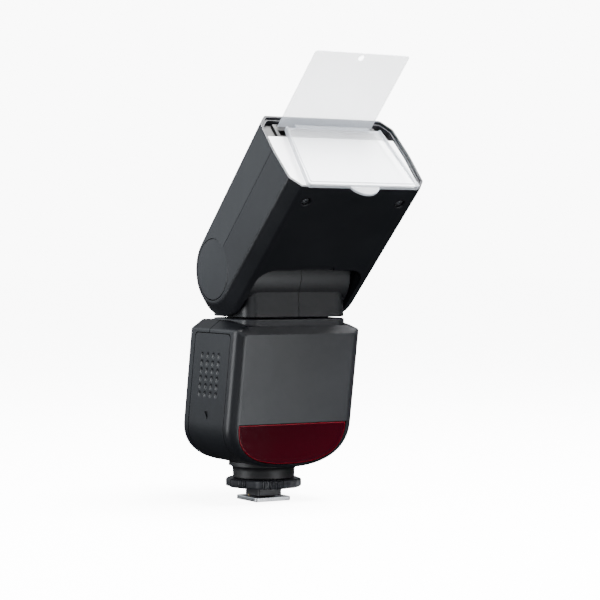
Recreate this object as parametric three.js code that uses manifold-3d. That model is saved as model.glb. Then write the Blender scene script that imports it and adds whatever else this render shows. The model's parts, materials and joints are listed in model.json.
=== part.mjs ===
// A battery flash that slides into a camera's accessory shoe: a leaning body with a red window,
// a screwed shoe foot, a swivel and tilt knuckle, and a lamp head with a white bounce card and a
// clear wide panel folded over its lens. Millimetres, +Z up. The origin is the centre of the
// foot's underside. The subject is towards -Y and the battery door is on the -X side.
import * as THREE from "three";
import { mergeVertices } from "three/addons/utils/BufferGeometryUtils.js";
import Module from "manifold-3d";

const wasm = await Module();
wasm.setup();
const { sin, cos, tan, PI, sign, abs } = Math;
const radians = THREE.MathUtils.degToRad;

// ---------------------------------------------------------------- driving dimensions
const GAP = 0.3; // between pieces that rest on each other
const SLIP = 0.4; // round a piece that moves in an opening
const WALL = 2; // moulded shells
const FAR = 60; // past every surface, for cuts that run right through

// Foot for the accessory shoe, to ISO 518
const FOOT_WIDTH = 18.6;
const FOOT_LENGTH = 18;
const FOOT_PLATE = 2;
const FOOT_BLOCK = 12.4;
const FOOT_TOP = 6.3;
const CONTACT_RADIUS = 1.4;
const SIDE_CONTACT_RADIUS = 0.8;
const SIDE_CONTACT_X = [-4.6, -1.6, 1.6, 4.6];
const SIDE_CONTACT_Y = 4.6;
const LOCK_PIN_RADIUS = 1;
const LOCK_PIN_AT = [4, -4.6];
const PIN_HOLE_TOP = 6.5;
const STEM_RADIUS = 9.2;
const RING_RADIUS = 17.3;
const RING_SCALLOP = 0.8;
const RING_LOBES = 6;
const RING_PHASE = 14; // degrees from +X to the middle of a ribbed lobe
const RING_HEIGHT = 3.9;
const CLAMP_RADIUS = 13;
const CLAMP_HEIGHT = 1.3;
const NECK_RADIUS = 14.1;
const NECK_FLARE = 0.5;

// Body, which leans forward: its y values are those of its faces carried down to z = 0
const BODY_LEAN = 8.73;
const BODY_WIDTH = 65.5;
const BODY_DEPTH = 45.4;
const BODY_FRONT = -19.9;
const BODY_BOTTOM = 16.5;
const BODY_SPRING = 36.8; // height where the straight sides run into the bottom curve
const BODY_CURVE = 2.35; // exponent of that curve, 2 being an ellipse
const BODY_SHOULDER = 78.8;
const BODY_CROWN = 83.3;
const BODY_CORNER = 5;
const PARTING = 5.2; // joint of the front and rear shells

const WINDOW_TOP = 36.6;
const WINDOW_HALF = 28.1;
const WINDOW_DROP = 18.2;
const WINDOW_CURVE = 2.6;
const LAMP_WIDTH = 6.8;
const LAMP_HEIGHT = 2;

const DOOR_FRONT = -13.5;
const DOOR_REAR = 17.5;
const DOOR_BOTTOM = 14; // below the body: the door wraps under it to DOOR_TOE
const DOOR_TOP = 76.9;
const DOOR_TOE = -20;
const DOOR_THICK = 1.8;
const DOOR_TRAVEL = 3;

const CELL_RADIUS = 7.15; // size AA
const CELL_LENGTH = 50.2;
const CELL_PITCH = 14.9;
const CELLS_HEIGHT = 56;
const CRADLE_WALL = 1.2;
const CAPACITOR_RADIUS = 8.3;
const CAPACITOR_LENGTH = 34;

// Rear panel, in its own frame: across, up the panel from PANEL_HEIGHT, and out of it
const PANEL_HEIGHT = 50;
const SCREEN_WIDTH = 36;
const SCREEN_HEIGHT = 20;
const SCREEN_UP = 14;
const DIAL_RADIUS = 9.5;
const DIAL_UP = -16;
const DIAL_TEETH = 24;
const SET_RADIUS = 4.6;
const BUTTON_WIDTH = 9;
const BUTTON_HEIGHT = 4;
const BUTTON_UP = -2.5;
const BUTTON_X = [-13, 0, 13];
const SWITCH_X = 20.5;
const TEST_X = -20.5;
const TEST_RADIUS = 2.6;
const PORT_WIDTH = 11;
const PORT_BOTTOM = 44;
const PORT_TOP = 66;

// Swivel and tilt knuckle
const SWIVEL_Y = -12.5;
const TABLE_TOP = 83.8;
const TABLE_BASE = 80.5;
const TABLE_HALF_WIDTH = 26.8;
const TABLE_HALF_DEPTH = 17;
const SHAFT_RADIUS = 13.5;
const SHAFT_BORE = 10;
const PIVOT_HEIGHT = 105.4;
const BARREL_RADIUS = 19.2;
const BARREL_WALL = 2.4;
const AXLE_RADIUS = 4.8;
const DETENT_RADIUS = 12;
const DETENT_X = 14;
const DETENT_THICK = 2;

// Head, in its own frame: across, from the pivot towards the lens, and towards its underside
const HEAD_TILT = 45; // forward of straight up
const HEAD_LENGTH = 72.3;
const HEAD_HALF_WIDTH = 34.6;
const HEAD_BULGE = 0.8;
const HEAD_TOP = -22;
const HEAD_UNDER = 22.3;
const HEAD_END_RADIUS = 20.9;
const EDGE_OUT = 4.6; // chamfer along the head's long edges
const EDGE_DOWN = 5.6;
const BAY_HALF_WIDTH = 27.4;
const BAY_EDGE = 21.2;
const BAY_CORNER = 8;
const BULKHEAD = 2.4;
const CAP_RADIUS = 13.6;
const CAP_THICK = 1.5;
const LENS_TOP = -10.4;
const LENS_THICK = 2;
const LENS_SET_BACK = 1.6;
const CARD_HALF_WIDTH = 24;
const CARD_THICK = 0.6;
const CARD_LEVEL = -17.9;
const CARD_END = 113;
const CARD_LENGTH = 46;
const CARD_HOLE = 1.5;
const PANEL_LEVEL = -13.4;
const PANEL_HINGE = 1.1;
const PANEL_THICK = 1.4;
const PANEL_PROUD = 0.6;
const PANEL_HALF_TOP = 24.4;
const PANEL_HALF_LIP = 28.4;
const PANEL_LIP = 23.4;
const PANEL_TAB = 28;
const REFLECTOR_HALF_WIDTH = 21.5;
const REFLECTOR_DEPTH = 18;
const REFLECTOR_HALF_MOUTH = 12.5;
const REFLECTOR_MOUTH_AT = 61;
const REFLECTOR_SKIN = 0.9;
const ZOOM_TRAVEL = 16;
const TUBE_RADIUS = 2.4;
const SCREW_AT = [24, 63.2]; // head screws: across, and along the head
const SCREW_RADIUS = 1.8;

// ---------------------------------------------------------------- solids
function solid(geometry) {
  const loose = geometry.index ? geometry.toNonIndexed() : geometry;
  const bare = new THREE.BufferGeometry();
  bare.setAttribute("position", loose.getAttribute("position"));
  const merged = mergeVertices(bare, 1e-4);
  const vertProperties = merged.attributes.position.array;
  const triVerts = new Uint32Array(merged.index.array);
  return new wasm.Manifold(new wasm.Mesh({ numProp: 3, vertProperties, triVerts }));
}

function box([x0, x1], [y0, y1], [z0, z1]) {
  const geometry = new THREE.BoxGeometry(x1 - x0, y1 - y0, z1 - z0);
  return solid(geometry.translate((x0 + x1) / 2, (y0 + y1) / 2, (z0 + z1) / 2));
}

// An outline pushed along the axis that its plane leaves out, from one level to another.
function prism(outline, plane, from, to, holes = []) {
  const shape = new THREE.Shape(outline);
  shape.holes = holes.map((hole) => new THREE.Path(hole));
  const geometry = new THREE.ExtrudeGeometry(shape, { depth: to - from, bevelEnabled: false });
  geometry.translate(0, 0, plane === "xz" ? -to : from);
  if (plane === "xz") geometry.rotateX(PI / 2);
  if (plane === "yz") geometry.rotateX(PI / 2).rotateZ(PI / 2);
  return solid(geometry);
}

// A profile of [radius, height] turned about the x, y or z axis, from its low end on the axis up.
function turned(profile, axis, at = [0, 0, 0], steps = 32) {
  const points = profile.map(([r, h]) => new THREE.Vector2(r, h));
  const geometry = new THREE.LatheGeometry(points, steps);
  if (axis === "z") geometry.rotateX(PI / 2);
  if (axis === "x") geometry.rotateZ(-PI / 2);
  return solid(geometry.translate(...at));
}

function rod(radius, from, to, axis, at, steps) {
  return turned([[0, from], [radius, from], [radius, to], [0, to]], axis, at, steps);
}

// A flat ring or tube: its profile is a rectangle that closes on itself, off the axis.
function tube(outer, inner, from, to, axis, at, steps) {
  const profile = [[inner, from], [outer, from], [outer, to], [inner, to], [inner, from]];
  return turned(profile, axis, at, steps);
}

// Corners of [a, b, radius], each corner rounded by an arc where it has a radius.
function rounded(corners, steps = 4) {
  return corners.flatMap(([a, b, radius = 0], i) => {
    const corner = new THREE.Vector2(a, b);
    if (!radius) return [corner];
    const towards = ([c, d]) => new THREE.Vector2(c, d).sub(corner).normalize();
    const back = towards(corners.at(i - 1));
    const on = towards(corners[(i + 1) % corners.length]);
    const half = back.angleTo(on) / 2;
    const centre = back.clone().add(on).setLength(radius / sin(half)).add(corner);
    const start = back.multiplyScalar(radius / tan(half)).add(corner).sub(centre);
    const end = on.multiplyScalar(radius / tan(half)).add(corner).sub(centre);
    const sweep = Math.atan2(start.cross(end), start.dot(end));
    return Array.from({ length: steps + 1 }, (_, k) =>
      start.clone().rotateAround(new THREE.Vector2(), (sweep * k) / steps).add(centre));
  });
}

function rectangle(halfWidth, low, high, radius, steps) {
  const corners = [[-halfWidth, low], [halfWidth, low], [halfWidth, high], [-halfWidth, high]];
  return rounded(corners.map((corner) => [...corner, radius]), steps);
}

// The lower half of a squared ellipse, from its right end round to its left end.
function bowl(halfWidth, drop, level, exponent, steps) {
  return Array.from({ length: steps + 1 }, (_, k) => {
    const angle = (PI * k) / steps;
    const across = sign(cos(angle)) * abs(cos(angle)) ** (2 / exponent);
    return new THREE.Vector2(halfWidth * across, level - drop * sin(angle) ** (2 / exponent));
  });
}

const join = (first, ...rest) => rest.reduce((whole, piece) => whole.add(piece), first);
const cut = (first, ...rest) => rest.reduce((whole, piece) => whole.subtract(piece), first);
const common = (first, ...rest) => rest.reduce((whole, piece) => whole.intersect(piece), first);

// ---------------------------------------------------------------- scene graph
const object = new THREE.Group();

function look(color, roughness, metalness = 0, opacity = 1) {
  const transparent = opacity < 1;
  return new THREE.MeshStandardMaterial({ color, roughness, metalness, opacity, transparent });
}

const LOOKS = {
  shell: look(0x26272b, 0.6),
  dark: look(0x161618, 0.7),
  trim: look(0x2e3036, 0.5),
  silver: look(0xc9c9cc, 0.3, 1),
  gold: look(0xc8a45a, 0.35, 1),
  red: look(0x3a0a12, 0.15),
  lamp: look(0xd01020, 0.3),
  clear: look(0xe4ebf2, 0.1, 0, 0.4),
  glass: look(0xdfe6ee, 0.1, 0, 0.5),
  card: look(0xf2f4f8, 0.4),
  board: look(0x1d5a36, 0.6),
  cell: look(0x2f6f9f, 0.4, 0.3),
  screen: look(0x6d7d70, 0.2),
};

function add(parent, name, piece, material) {
  const { vertProperties, triVerts } = piece.getMesh();
  const geometry = new THREE.BufferGeometry();
  geometry.setAttribute("position", new THREE.BufferAttribute(vertProperties, 3));
  geometry.setIndex(new THREE.BufferAttribute(triVerts, 1));
  geometry.computeVertexNormals();
  const mesh = new THREE.Mesh(geometry, material);
  mesh.name = name;
  parent.add(mesh);
}

// A frame turned about X: across stays across, "up" leans forward by the angle, and the third
// axis points out of the front, or out of the back when it faces backwards.
function leaningFrame(angle, origin, faces = 1) {
  const up = new THREE.Vector3(0, -sin(radians(angle)), cos(radians(angle)));
  const across = new THREE.Vector3(faces, 0, 0);
  const out = new THREE.Vector3().crossVectors(across, up);
  return new THREE.Matrix4().makeBasis(across, up, out).setPosition(...origin);
}

function framedGroup(matrix) {
  const group = new THREE.Group();
  group.applyMatrix4(matrix);
  object.add(group);
  return group;
}

// ---------------------------------------------------------------- foot
const RING_BASE = FOOT_TOP;
const RING_TOP = RING_BASE + RING_HEIGHT;
const STEM_BASE = FOOT_TOP + GAP;
const STEM_TOP = BODY_BOTTOM + 1.2;
const NECK_BASE = RING_TOP + GAP;
const NECK_TOP = BODY_BOTTOM - GAP;

const PIN_TOP = FOOT_TOP - 0.8;
const pinHoles = [
  [0, 0, CONTACT_RADIUS], [...LOCK_PIN_AT, LOCK_PIN_RADIUS],
  ...SIDE_CONTACT_X.map((x) => [x, SIDE_CONTACT_Y, SIDE_CONTACT_RADIUS]),
].map(([x, y, radius]) => rod(radius + GAP, -1, PIN_HOLE_TOP, "z", [x, y, 0], 12));

function footSolid() {
  const plate = rectangle(FOOT_WIDTH / 2, -FOOT_LENGTH / 2, FOOT_LENGTH / 2, 1.2, 2);
  return cut(prism(plate, "xy", 0, FOOT_PLATE), ...pinHoles);
}

// The block between the shoe's lips and the threaded stem that it grows into.
function stemSolid() {
  const block = rectangle(FOOT_BLOCK / 2, -FOOT_BLOCK / 2, FOOT_BLOCK / 2, 1, 2);
  const stem = rod(STEM_RADIUS, STEM_BASE, STEM_TOP, "z");
  return cut(join(prism(block, "xy", FOOT_PLATE + GAP, STEM_BASE + 1), stem), ...pinHoles);
}

function ringOutline() {
  const steps = RING_LOBES * 10;
  return Array.from({ length: steps }, (_, k) => {
    const angle = (2 * PI * k) / steps + radians(RING_PHASE);
    const scallop = Math.max(0, -cos((2 * PI * k * RING_LOBES) / steps)) * RING_SCALLOP;
    const radius = RING_RADIUS - scallop;
    return new THREE.Vector2(radius * cos(angle), radius * sin(angle));
  });
}

function lockRingSolid() {
  const disc = prism(ringOutline(), "xy", RING_BASE, RING_TOP);
  const bore = rod(STEM_RADIUS + GAP, 0, FAR, "z");
  const pocket = rod(CLAMP_RADIUS + SLIP, 0, RING_BASE + GAP + CLAMP_HEIGHT + GAP, "z");
  return cut(disc, bore, pocket);
}

function neckSolid() {
  const inner = STEM_RADIUS + GAP;
  return turned([
    [inner, NECK_BASE], [NECK_RADIUS, NECK_BASE], [NECK_RADIUS, NECK_TOP - NECK_FLARE],
    [NECK_RADIUS + NECK_FLARE, NECK_TOP], [inner, NECK_TOP], [inner, NECK_BASE],
  ], "z");
}

add(object, "shoe_foot", footSolid(), LOOKS.silver);
add(object, "shoe_stem", stemSolid(), LOOKS.dark);
add(object, "shoe_neck", neckSolid(), LOOKS.shell);
add(object, "lock_ring", lockRingSolid(), LOOKS.trim);
const CLAMP_BASE = RING_BASE + GAP;
const clampBore = STEM_RADIUS + SLIP;
add(object, "clamp_plate",
  tube(CLAMP_RADIUS, clampBore, CLAMP_BASE, CLAMP_BASE + CLAMP_HEIGHT, "z"), LOOKS.silver);
const centreContact = rod(CONTACT_RADIUS, 0.1, PIN_TOP, "z", [0, 0, 0], 12);
add(object, "contact_centre", centreContact, LOOKS.gold);
SIDE_CONTACT_X.forEach((x, i) => {
  const pin = rod(SIDE_CONTACT_RADIUS, 0.1, PIN_TOP, "z", [x, SIDE_CONTACT_Y, 0], 8);
  add(object, `contact_${i + 1}`, pin, LOOKS.gold);
});
const lockPin = rod(LOCK_PIN_RADIUS, 0.2, PIN_TOP, "z", [...LOCK_PIN_AT, 0], 8);
add(object, "lock_pin", lockPin, LOOKS.silver);

// ---------------------------------------------------------------- body
const SLOPE = tan(radians(BODY_LEAN));
const BODY_REAR = BODY_FRONT + BODY_DEPTH;
const HALF_WIDTH = BODY_WIDTH / 2;
const LEAN = new THREE.Matrix4().set(1, 0, 0, 0, 0, 1, -SLOPE, 0, 0, 0, 1, 0, 0, 0, 0, 1);
const lean = (piece) => piece.transform(LEAN.elements);

// The body's outer form before it leans, or the same form a wall further in.
function bodyForm(inset) {
  const side = HALF_WIDTH - inset;
  const front = BODY_FRONT + inset;
  const rear = BODY_REAR - inset;
  const plan = rounded([
    [-side, front], [side, front], [side, rear], [-side, rear],
  ].map((corner) => [...corner, BODY_CORNER - inset]));
  const drop = BODY_SPRING - BODY_BOTTOM - inset;
  const shoulder = BODY_SHOULDER - inset;
  const crown = BODY_CROWN - inset;
  const face = [
    ...rounded([[-side, shoulder, 1.5], [-side + 5.2, crown - 0.4, 3], [side - 5.2, crown - 0.4, 3],
      [side, shoulder, 1.5], [side, BODY_SPRING], [-side, BODY_SPRING]]).slice(0, -2),
    ...bowl(side, drop, BODY_SPRING, BODY_CURVE, 22),
  ];
  const profile = [
    [front - 5, BODY_BOTTOM + inset + 6.5], [front - 5, shoulder - 9.4], [front + 2.6, shoulder + 2],
    [front + 20, crown], [rear - 4, crown], [rear + 5, crown - 9],
    [rear + 5, BODY_BOTTOM + inset + 8.5], [rear - 6, BODY_BOTTOM + inset - 2.5],
    [front + 4, BODY_BOTTOM + inset - 2.5],
  ].map(([y, z]) => new THREE.Vector2(y, z));
  return common(
    prism(plan, "xy", 0, FAR * 2),
    prism(face, "xz", front - 5, rear + 5),
    prism(profile, "yz", -FAR, FAR),
  );
}

const body = bodyForm(0);
const CAVITY_TOP = TABLE_BASE - GAP - WALL;
const cavity = common(bodyForm(WALL), box([-FAR, FAR], [-FAR, FAR], [0, CAVITY_TOP]));

const windowOutline = (grow) =>
  bowl(WINDOW_HALF + grow, WINDOW_DROP + 2 * grow, WINDOW_TOP + grow, WINDOW_CURVE, 20);
const WINDOW_BACK = BODY_FRONT + WALL + GAP;
const WINDOW_FLANGE = 1.2;

// A plate that fills its opening in the front wall, with a flange behind the wall.
function windowSolid() {
  const plate = prism(windowOutline(0), "xz", BODY_FRONT, WINDOW_BACK);
  const flange = prism(windowOutline(WINDOW_FLANGE), "xz", WINDOW_BACK, WINDOW_BACK + 1);
  return join(common(plate, body), common(flange, bodyForm(WALL + GAP)));
}

const doorOutline = (grow, drop) => rounded([
  [DOOR_FRONT - grow, DOOR_BOTTOM - drop], [DOOR_REAR + grow, DOOR_BOTTOM - drop],
  [DOOR_REAR + grow, DOOR_TOP + grow, 1.5], [DOOR_FRONT - grow, DOOR_TOP + grow, 1.5],
], 3);
const DOOR_INSIDE = -HALF_WIDTH + DOOR_THICK;
const doorOpening = prism(doorOutline(SLIP, SLIP + DOOR_TRAVEL), "yz", -FAR, DOOR_TOE + SLIP);
const doorway = cut(doorOpening, bodyForm(WALL + SLIP));

const PORT_MIDDLE = 2;
const portOutline = (grow) => rounded([
  [PORT_MIDDLE - PORT_WIDTH / 2 - grow, PORT_BOTTOM - grow, 2],
  [PORT_MIDDLE + PORT_WIDTH / 2 + grow, PORT_BOTTOM - grow, 2],
  [PORT_MIDDLE + PORT_WIDTH / 2 + grow, PORT_TOP + grow, 2],
  [PORT_MIDDLE - PORT_WIDTH / 2 - grow, PORT_TOP + grow, 2],
], 2);
const PORT_THICK = 1.6;
const portOpening = prism(portOutline(SLIP), "yz", HALF_WIDTH - PORT_THICK - SLIP, FAR);

// Rear panel pieces are laid out in the panel's own frame.
const panelFrame = leaningFrame(BODY_LEAN, [0, BODY_REAR - SLOPE * PANEL_HEIGHT, PANEL_HEIGHT], -1);
const onPanel = (piece) => piece.transform(panelFrame.elements);
const screenOutline = (grow) => rectangle(
  SCREEN_WIDTH / 2 + grow, SCREEN_UP - SCREEN_HEIGHT / 2 - grow,
  SCREEN_UP + SCREEN_HEIGHT / 2 + grow, 1.5, 2);
const pill = (x, up, width, height, radius) => rounded([
  [x - width / 2, up - height / 2, radius], [x + width / 2, up - height / 2, radius],
  [x + width / 2, up + height / 2, radius], [x - width / 2, up + height / 2, radius],
], 3);
const SWITCH_TRAVEL = 3;
const panelOpenings = onPanel(join(
  prism(screenOutline(GAP), "xy", -WALL - 1, FAR),
  rod(DIAL_RADIUS + SLIP, -1.2, FAR, "z", [0, DIAL_UP, 0]),
  rod(SET_RADIUS + SLIP, -WALL - 1, FAR, "z", [0, DIAL_UP, 0], 24),
  rod(TEST_RADIUS + SLIP, -WALL - 1, FAR, "z", [TEST_X, DIAL_UP, 0], 16),
  prism(pill(SWITCH_X, DIAL_UP, 4 + 2 * SLIP, 5 + SWITCH_TRAVEL + 2 * SLIP, 1), "xy", -WALL - 1, FAR),
  ...BUTTON_X.map((x) => prism(
    pill(x, BUTTON_UP, BUTTON_WIDTH + 2 * SLIP, BUTTON_HEIGHT + 2 * SLIP, 2), "xy", -WALL - 1, FAR)),
));

const tableOutline = (grow) => rounded([
  [-TABLE_HALF_WIDTH - grow, SWIVEL_Y - TABLE_HALF_DEPTH - grow],
  [TABLE_HALF_WIDTH + grow, SWIVEL_Y - TABLE_HALF_DEPTH - grow],
  [TABLE_HALF_WIDTH + grow, SWIVEL_Y + TABLE_HALF_DEPTH + grow],
  [-TABLE_HALF_WIDTH - grow, SWIVEL_Y + TABLE_HALF_DEPTH + grow],
].map((corner) => [...corner, 6]));
const shaftHole = rod(SHAFT_RADIUS + SLIP, CAVITY_TOP - 1, TABLE_TOP + 1, "z", [0, SWIVEL_Y, 0]);
const tableSeat = prism(tableOutline(GAP), "xy", TABLE_BASE - GAP, FAR * 2);
const stemHole = rod(STEM_RADIUS + GAP, 0, BODY_SPRING, "z");
const shell = cut(lean(cut(body, cavity, doorway, portOpening)),
  panelOpenings, tableSeat, shaftHole, stemHole);
const frontHalf = box([-FAR, FAR], [-FAR, PARTING - GAP / 2], [0, FAR * 2]);
const rearHalf = box([-FAR, FAR], [PARTING + GAP / 2, FAR], [0, FAR * 2]);
const windowHole = prism(windowOutline(GAP), "xz", -FAR, WINDOW_BACK + GAP);

add(object, "front_shell", common(cut(shell, lean(windowHole)), lean(frontHalf)), LOOKS.shell);
add(object, "rear_shell", common(shell, lean(rearHalf)), LOOKS.shell);
add(object, "turntable", cut(prism(tableOutline(0), "xy", TABLE_BASE, TABLE_TOP), shaftHole),
  LOOKS.shell);
add(object, "signal_window", lean(windowSolid()), LOOKS.red);
const LAMP_DEPTH = 3;
const lampFront = WINDOW_BACK + 1 + GAP;
add(object, "signal_lamp", lean(box([-LAMP_WIDTH / 2, LAMP_WIDTH / 2],
  [lampFront, lampFront + LAMP_DEPTH], [34.4 - LAMP_HEIGHT / 2, 34.4 + LAMP_HEIGHT / 2])), LOOKS.lamp);

// ---------------------------------------------------------------- battery compartment
const CELLS_Y = (DOOR_FRONT + DOOR_REAR) / 2 - 0.8;
const CELLS_HALF = CELL_PITCH / 2 + CELL_RADIUS + SLIP;
const CARRIER_INSIDE = WALL + 1.1 - HALF_WIDTH;
const CRADLE_MOUTH = CARRIER_INSIDE + GAP;
const CRADLE_END = CRADLE_MOUTH + CELL_LENGTH + 6.6;
function cradleSolid() {
  const span = (centre, half) => [centre - half, centre + half];
  const outer = CELLS_HALF + CRADLE_WALL;
  const shellBox = box([CRADLE_MOUTH, CRADLE_END], span(CELLS_Y, outer), span(CELLS_HEIGHT, outer));
  const room = box([CRADLE_MOUTH - 1, CRADLE_END - CRADLE_WALL], span(CELLS_Y, CELLS_HALF),
    span(CELLS_HEIGHT, CELLS_HALF));
  return lean(cut(shellBox, room));
}
add(object, "battery_cradle", cradleSolid(), LOOKS.dark);

const CELL_START = CRADLE_MOUTH + 2.6;
const NUB = 1.2;
// A cell with its raised terminal towards +X or -X.
function cellSolid(side) {
  const long = CELL_LENGTH - NUB;
  const can = [[0, -long / 2], [CELL_RADIUS, -long / 2], [CELL_RADIUS, long / 2],
    [2.6, long / 2], [2.6, long / 2 + NUB], [0, long / 2 + NUB]];
  const cell = turned(can, "x", [-NUB / 2, 0, 0], 20);
  return side > 0 ? cell : cell.rotate([0, 180, 0]);
}
[[-1, 1], [1, 1], [-1, -1], [1, -1]].forEach(([column, row], i) => {
  const z = CELLS_HEIGHT + (row * CELL_PITCH) / 2;
  const y = CELLS_Y + (column * CELL_PITCH) / 2 - SLOPE * z;
  const cell = cellSolid(column * row);
  add(object, `cell_${i + 1}`, cell.translate([CELL_START + CELL_LENGTH / 2, y, z]), LOOKS.cell);
});
const stripFace = CRADLE_END - CRADLE_WALL - GAP;
const stripHalf = CELL_PITCH / 2 + 4;
add(object, "cell_strip", lean(box([stripFace - 0.6, stripFace],
  [CELLS_Y - stripHalf, CELLS_Y + stripHalf], [CELLS_HEIGHT - stripHalf, CELLS_HEIGHT + stripHalf])),
LOOKS.silver);

const doorBlank = prism(doorOutline(0, 0), "yz", -FAR, DOOR_TOE);
const door = cut(common(doorBlank, body), bodyForm(DOOR_THICK));
add(object, "battery_door", lean(door), LOOKS.shell);
const DOOR_PLATE_HALF = 10.5;
const doorPlate = box([DOOR_INSIDE + GAP, DOOR_INSIDE + 1],
  [CELLS_Y - DOOR_PLATE_HALF, CELLS_Y + DOOR_PLATE_HALF],
  [CELLS_HEIGHT - DOOR_PLATE_HALF, CELLS_HEIGHT + DOOR_PLATE_HALF]);
add(object, "door_contact_plate", lean(doorPlate), LOOKS.silver);
const carrier = box([WALL + GAP - HALF_WIDTH, CARRIER_INSIDE], [DOOR_REAR - 4, DOOR_REAR + 3.5],
  [BODY_SPRING + 1.5, DOOR_TOP - 6]);
add(object, "door_hinge_slide", lean(carrier), LOOKS.silver);

// ---------------------------------------------------------------- electronics and rear controls
const capacitorY = 3 - SLOPE * 29.8;
add(object, "capacitor", rod(CAPACITOR_RADIUS, -CAPACITOR_LENGTH / 2, CAPACITOR_LENGTH / 2, "x",
  [0, capacitorY, 29.8], 24), LOOKS.dark);
const panelGroup = framedGroup(panelFrame);
const BOARD_BACK = -WALL - 4.2;
add(panelGroup, "main_board", prism(rectangle(25, -22, 22, 2, 2), "xy", BOARD_BACK - 1.2, BOARD_BACK),
  LOOKS.board);
add(panelGroup, "screen_window", prism(screenOutline(0), "xy", -WALL + 0.4, 0), LOOKS.glass);
add(panelGroup, "screen_module", prism(screenOutline(-1), "xy", BOARD_BACK + GAP, -WALL), LOOKS.screen);

function dialSolid() {
  const teeth = Array.from({ length: DIAL_TEETH * 2 }, (_, k) => {
    const radius = DIAL_RADIUS - (k % 2) * 0.4;
    const angle = (PI * k) / DIAL_TEETH;
    return new THREE.Vector2(radius * cos(angle), radius * sin(angle) + DIAL_UP);
  });
  const bore = rod(SET_RADIUS + SLIP, -FAR, FAR, "z", [0, DIAL_UP, 0], 24);
  return cut(prism(teeth, "xy", -1.2 + GAP, 1.8), bore);
}
add(panelGroup, "control_dial", dialSolid(), LOOKS.trim);
const BUTTON_PROUD = 1;
const BUTTON_BACK = -WALL - 0.6;
const at = (x) => [x, DIAL_UP, 0];
add(panelGroup, "set_button", rod(SET_RADIUS, BUTTON_BACK, BUTTON_PROUD, "z", at(0), 24), LOOKS.trim);
add(panelGroup, "test_button", rod(TEST_RADIUS, BUTTON_BACK, BUTTON_PROUD, "z", at(TEST_X), 16),
  LOOKS.lamp);
BUTTON_X.forEach((x, i) => {
  const outline = pill(x, BUTTON_UP, BUTTON_WIDTH, BUTTON_HEIGHT, 1.8);
  add(panelGroup, `button_${i + 1}`, prism(outline, "xy", BUTTON_BACK, BUTTON_PROUD), LOOKS.trim);
});
const switchCap = pill(SWITCH_X, DIAL_UP - SWITCH_TRAVEL / 2, 4, 5, 1);
add(panelGroup, "power_switch", prism(switchCap, "xy", BUTTON_BACK, BUTTON_PROUD + 0.4), LOOKS.trim);

const portCover = common(prism(portOutline(0), "yz", HALF_WIDTH - PORT_THICK, FAR), body);
add(object, "port_cover", lean(portCover), LOOKS.dark);
const PORT_FACE = HALF_WIDTH - WALL - GAP;
function socketSolid(width, height, z, depth) {
  const y = PORT_MIDDLE - SLOPE * z;
  const around = (half, drop) => [[y - half, z - drop], [y + half, z - drop], [y + half, z + drop],
    [y - half, z + drop]].map(([a, b]) => new THREE.Vector2(a, b));
  const outer = prism(around(width / 2, height / 2), "yz", PORT_FACE - depth, PORT_FACE);
  const mouth = prism(around(width / 2 - 0.6, height / 2 - 0.6), "yz", PORT_FACE - depth + 1, FAR);
  return cut(outer, mouth);
}
add(object, "data_port", socketSolid(3.4, 9, 50, PORT_FACE - CRADLE_END - SLIP), LOOKS.silver);

// ---------------------------------------------------------------- swivel and tilt knuckle
const FLANGE_BASE = TABLE_TOP + 0.6;
const FLANGE_DROP = PIVOT_HEIGHT - FLANGE_BASE;
const SHAFT_BASE = CAVITY_TOP - 4;
const RETAINER_RADIUS = SWIVEL_Y - (BODY_FRONT + WALL - SLOPE * SHAFT_BASE) - 1.5 * GAP;
const pivot = [0, SWIVEL_Y, PIVOT_HEIGHT];
const swivel = [0, SWIVEL_Y, 0];
add(object, "swivel_shaft", tube(SHAFT_RADIUS, SHAFT_BORE, SHAFT_BASE, FLANGE_BASE - GAP, "z", swivel),
  LOOKS.dark);
add(object, "swivel_retainer",
  tube(RETAINER_RADIUS, SHAFT_RADIUS + GAP, SHAFT_BASE, SHAFT_BASE + 1.6, "z", swivel),
  LOOKS.silver);

// One half of the knuckle: a hollow barrel across the pivot, on a skirt and a flange.
function knuckleHalf(side) {
  const end = TABLE_HALF_WIDTH - GAP;
  const barrel = turned([[0, GAP / 2], [BARREL_RADIUS, GAP / 2], [BARREL_RADIUS, end - 1.6],
    [BARREL_RADIUS - 1.6, end], [0, end]], "x", pivot, 48);
  const depth = TABLE_HALF_DEPTH;
  const skirt = [
    [-depth, -FLANGE_DROP], [depth, -FLANGE_DROP], [depth, 2.4 - FLANGE_DROP],
    [depth - 0.6, 10 - BARREL_RADIUS], [0.6 - depth, 10 - BARREL_RADIUS],
    [-depth, 2.4 - FLANGE_DROP],
  ].map(([y, z]) => new THREE.Vector2(y + SWIVEL_Y, z + PIVOT_HEIGHT));
  const footprint = prism(tableOutline(0), "xy", FLANGE_BASE, FAR * 2);
  const base = common(prism(skirt, "yz", GAP / 2, end), footprint);
  const room = rod(BARREL_RADIUS - BARREL_WALL, -1, end - BARREL_WALL, "x", pivot, 32);
  const wireWay = rod(SHAFT_BORE, FLANGE_BASE - 1, PIVOT_HEIGHT, "z", swivel, 24);
  const axleHole = rod(AXLE_RADIUS + SLIP, -1, FAR, "x", pivot, 24);
  const half = cut(join(barrel, base), room, wireWay, axleHole);
  return side > 0 ? half : half.mirror([1, 0, 0]);
}
add(object, "knuckle_left", knuckleHalf(-1), LOOKS.dark);
add(object, "knuckle_right", knuckleHalf(1), LOOKS.dark);

// ---------------------------------------------------------------- head shells
const headFrame = leaningFrame(HEAD_TILT, pivot);
const head = framedGroup(headFrame);

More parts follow.
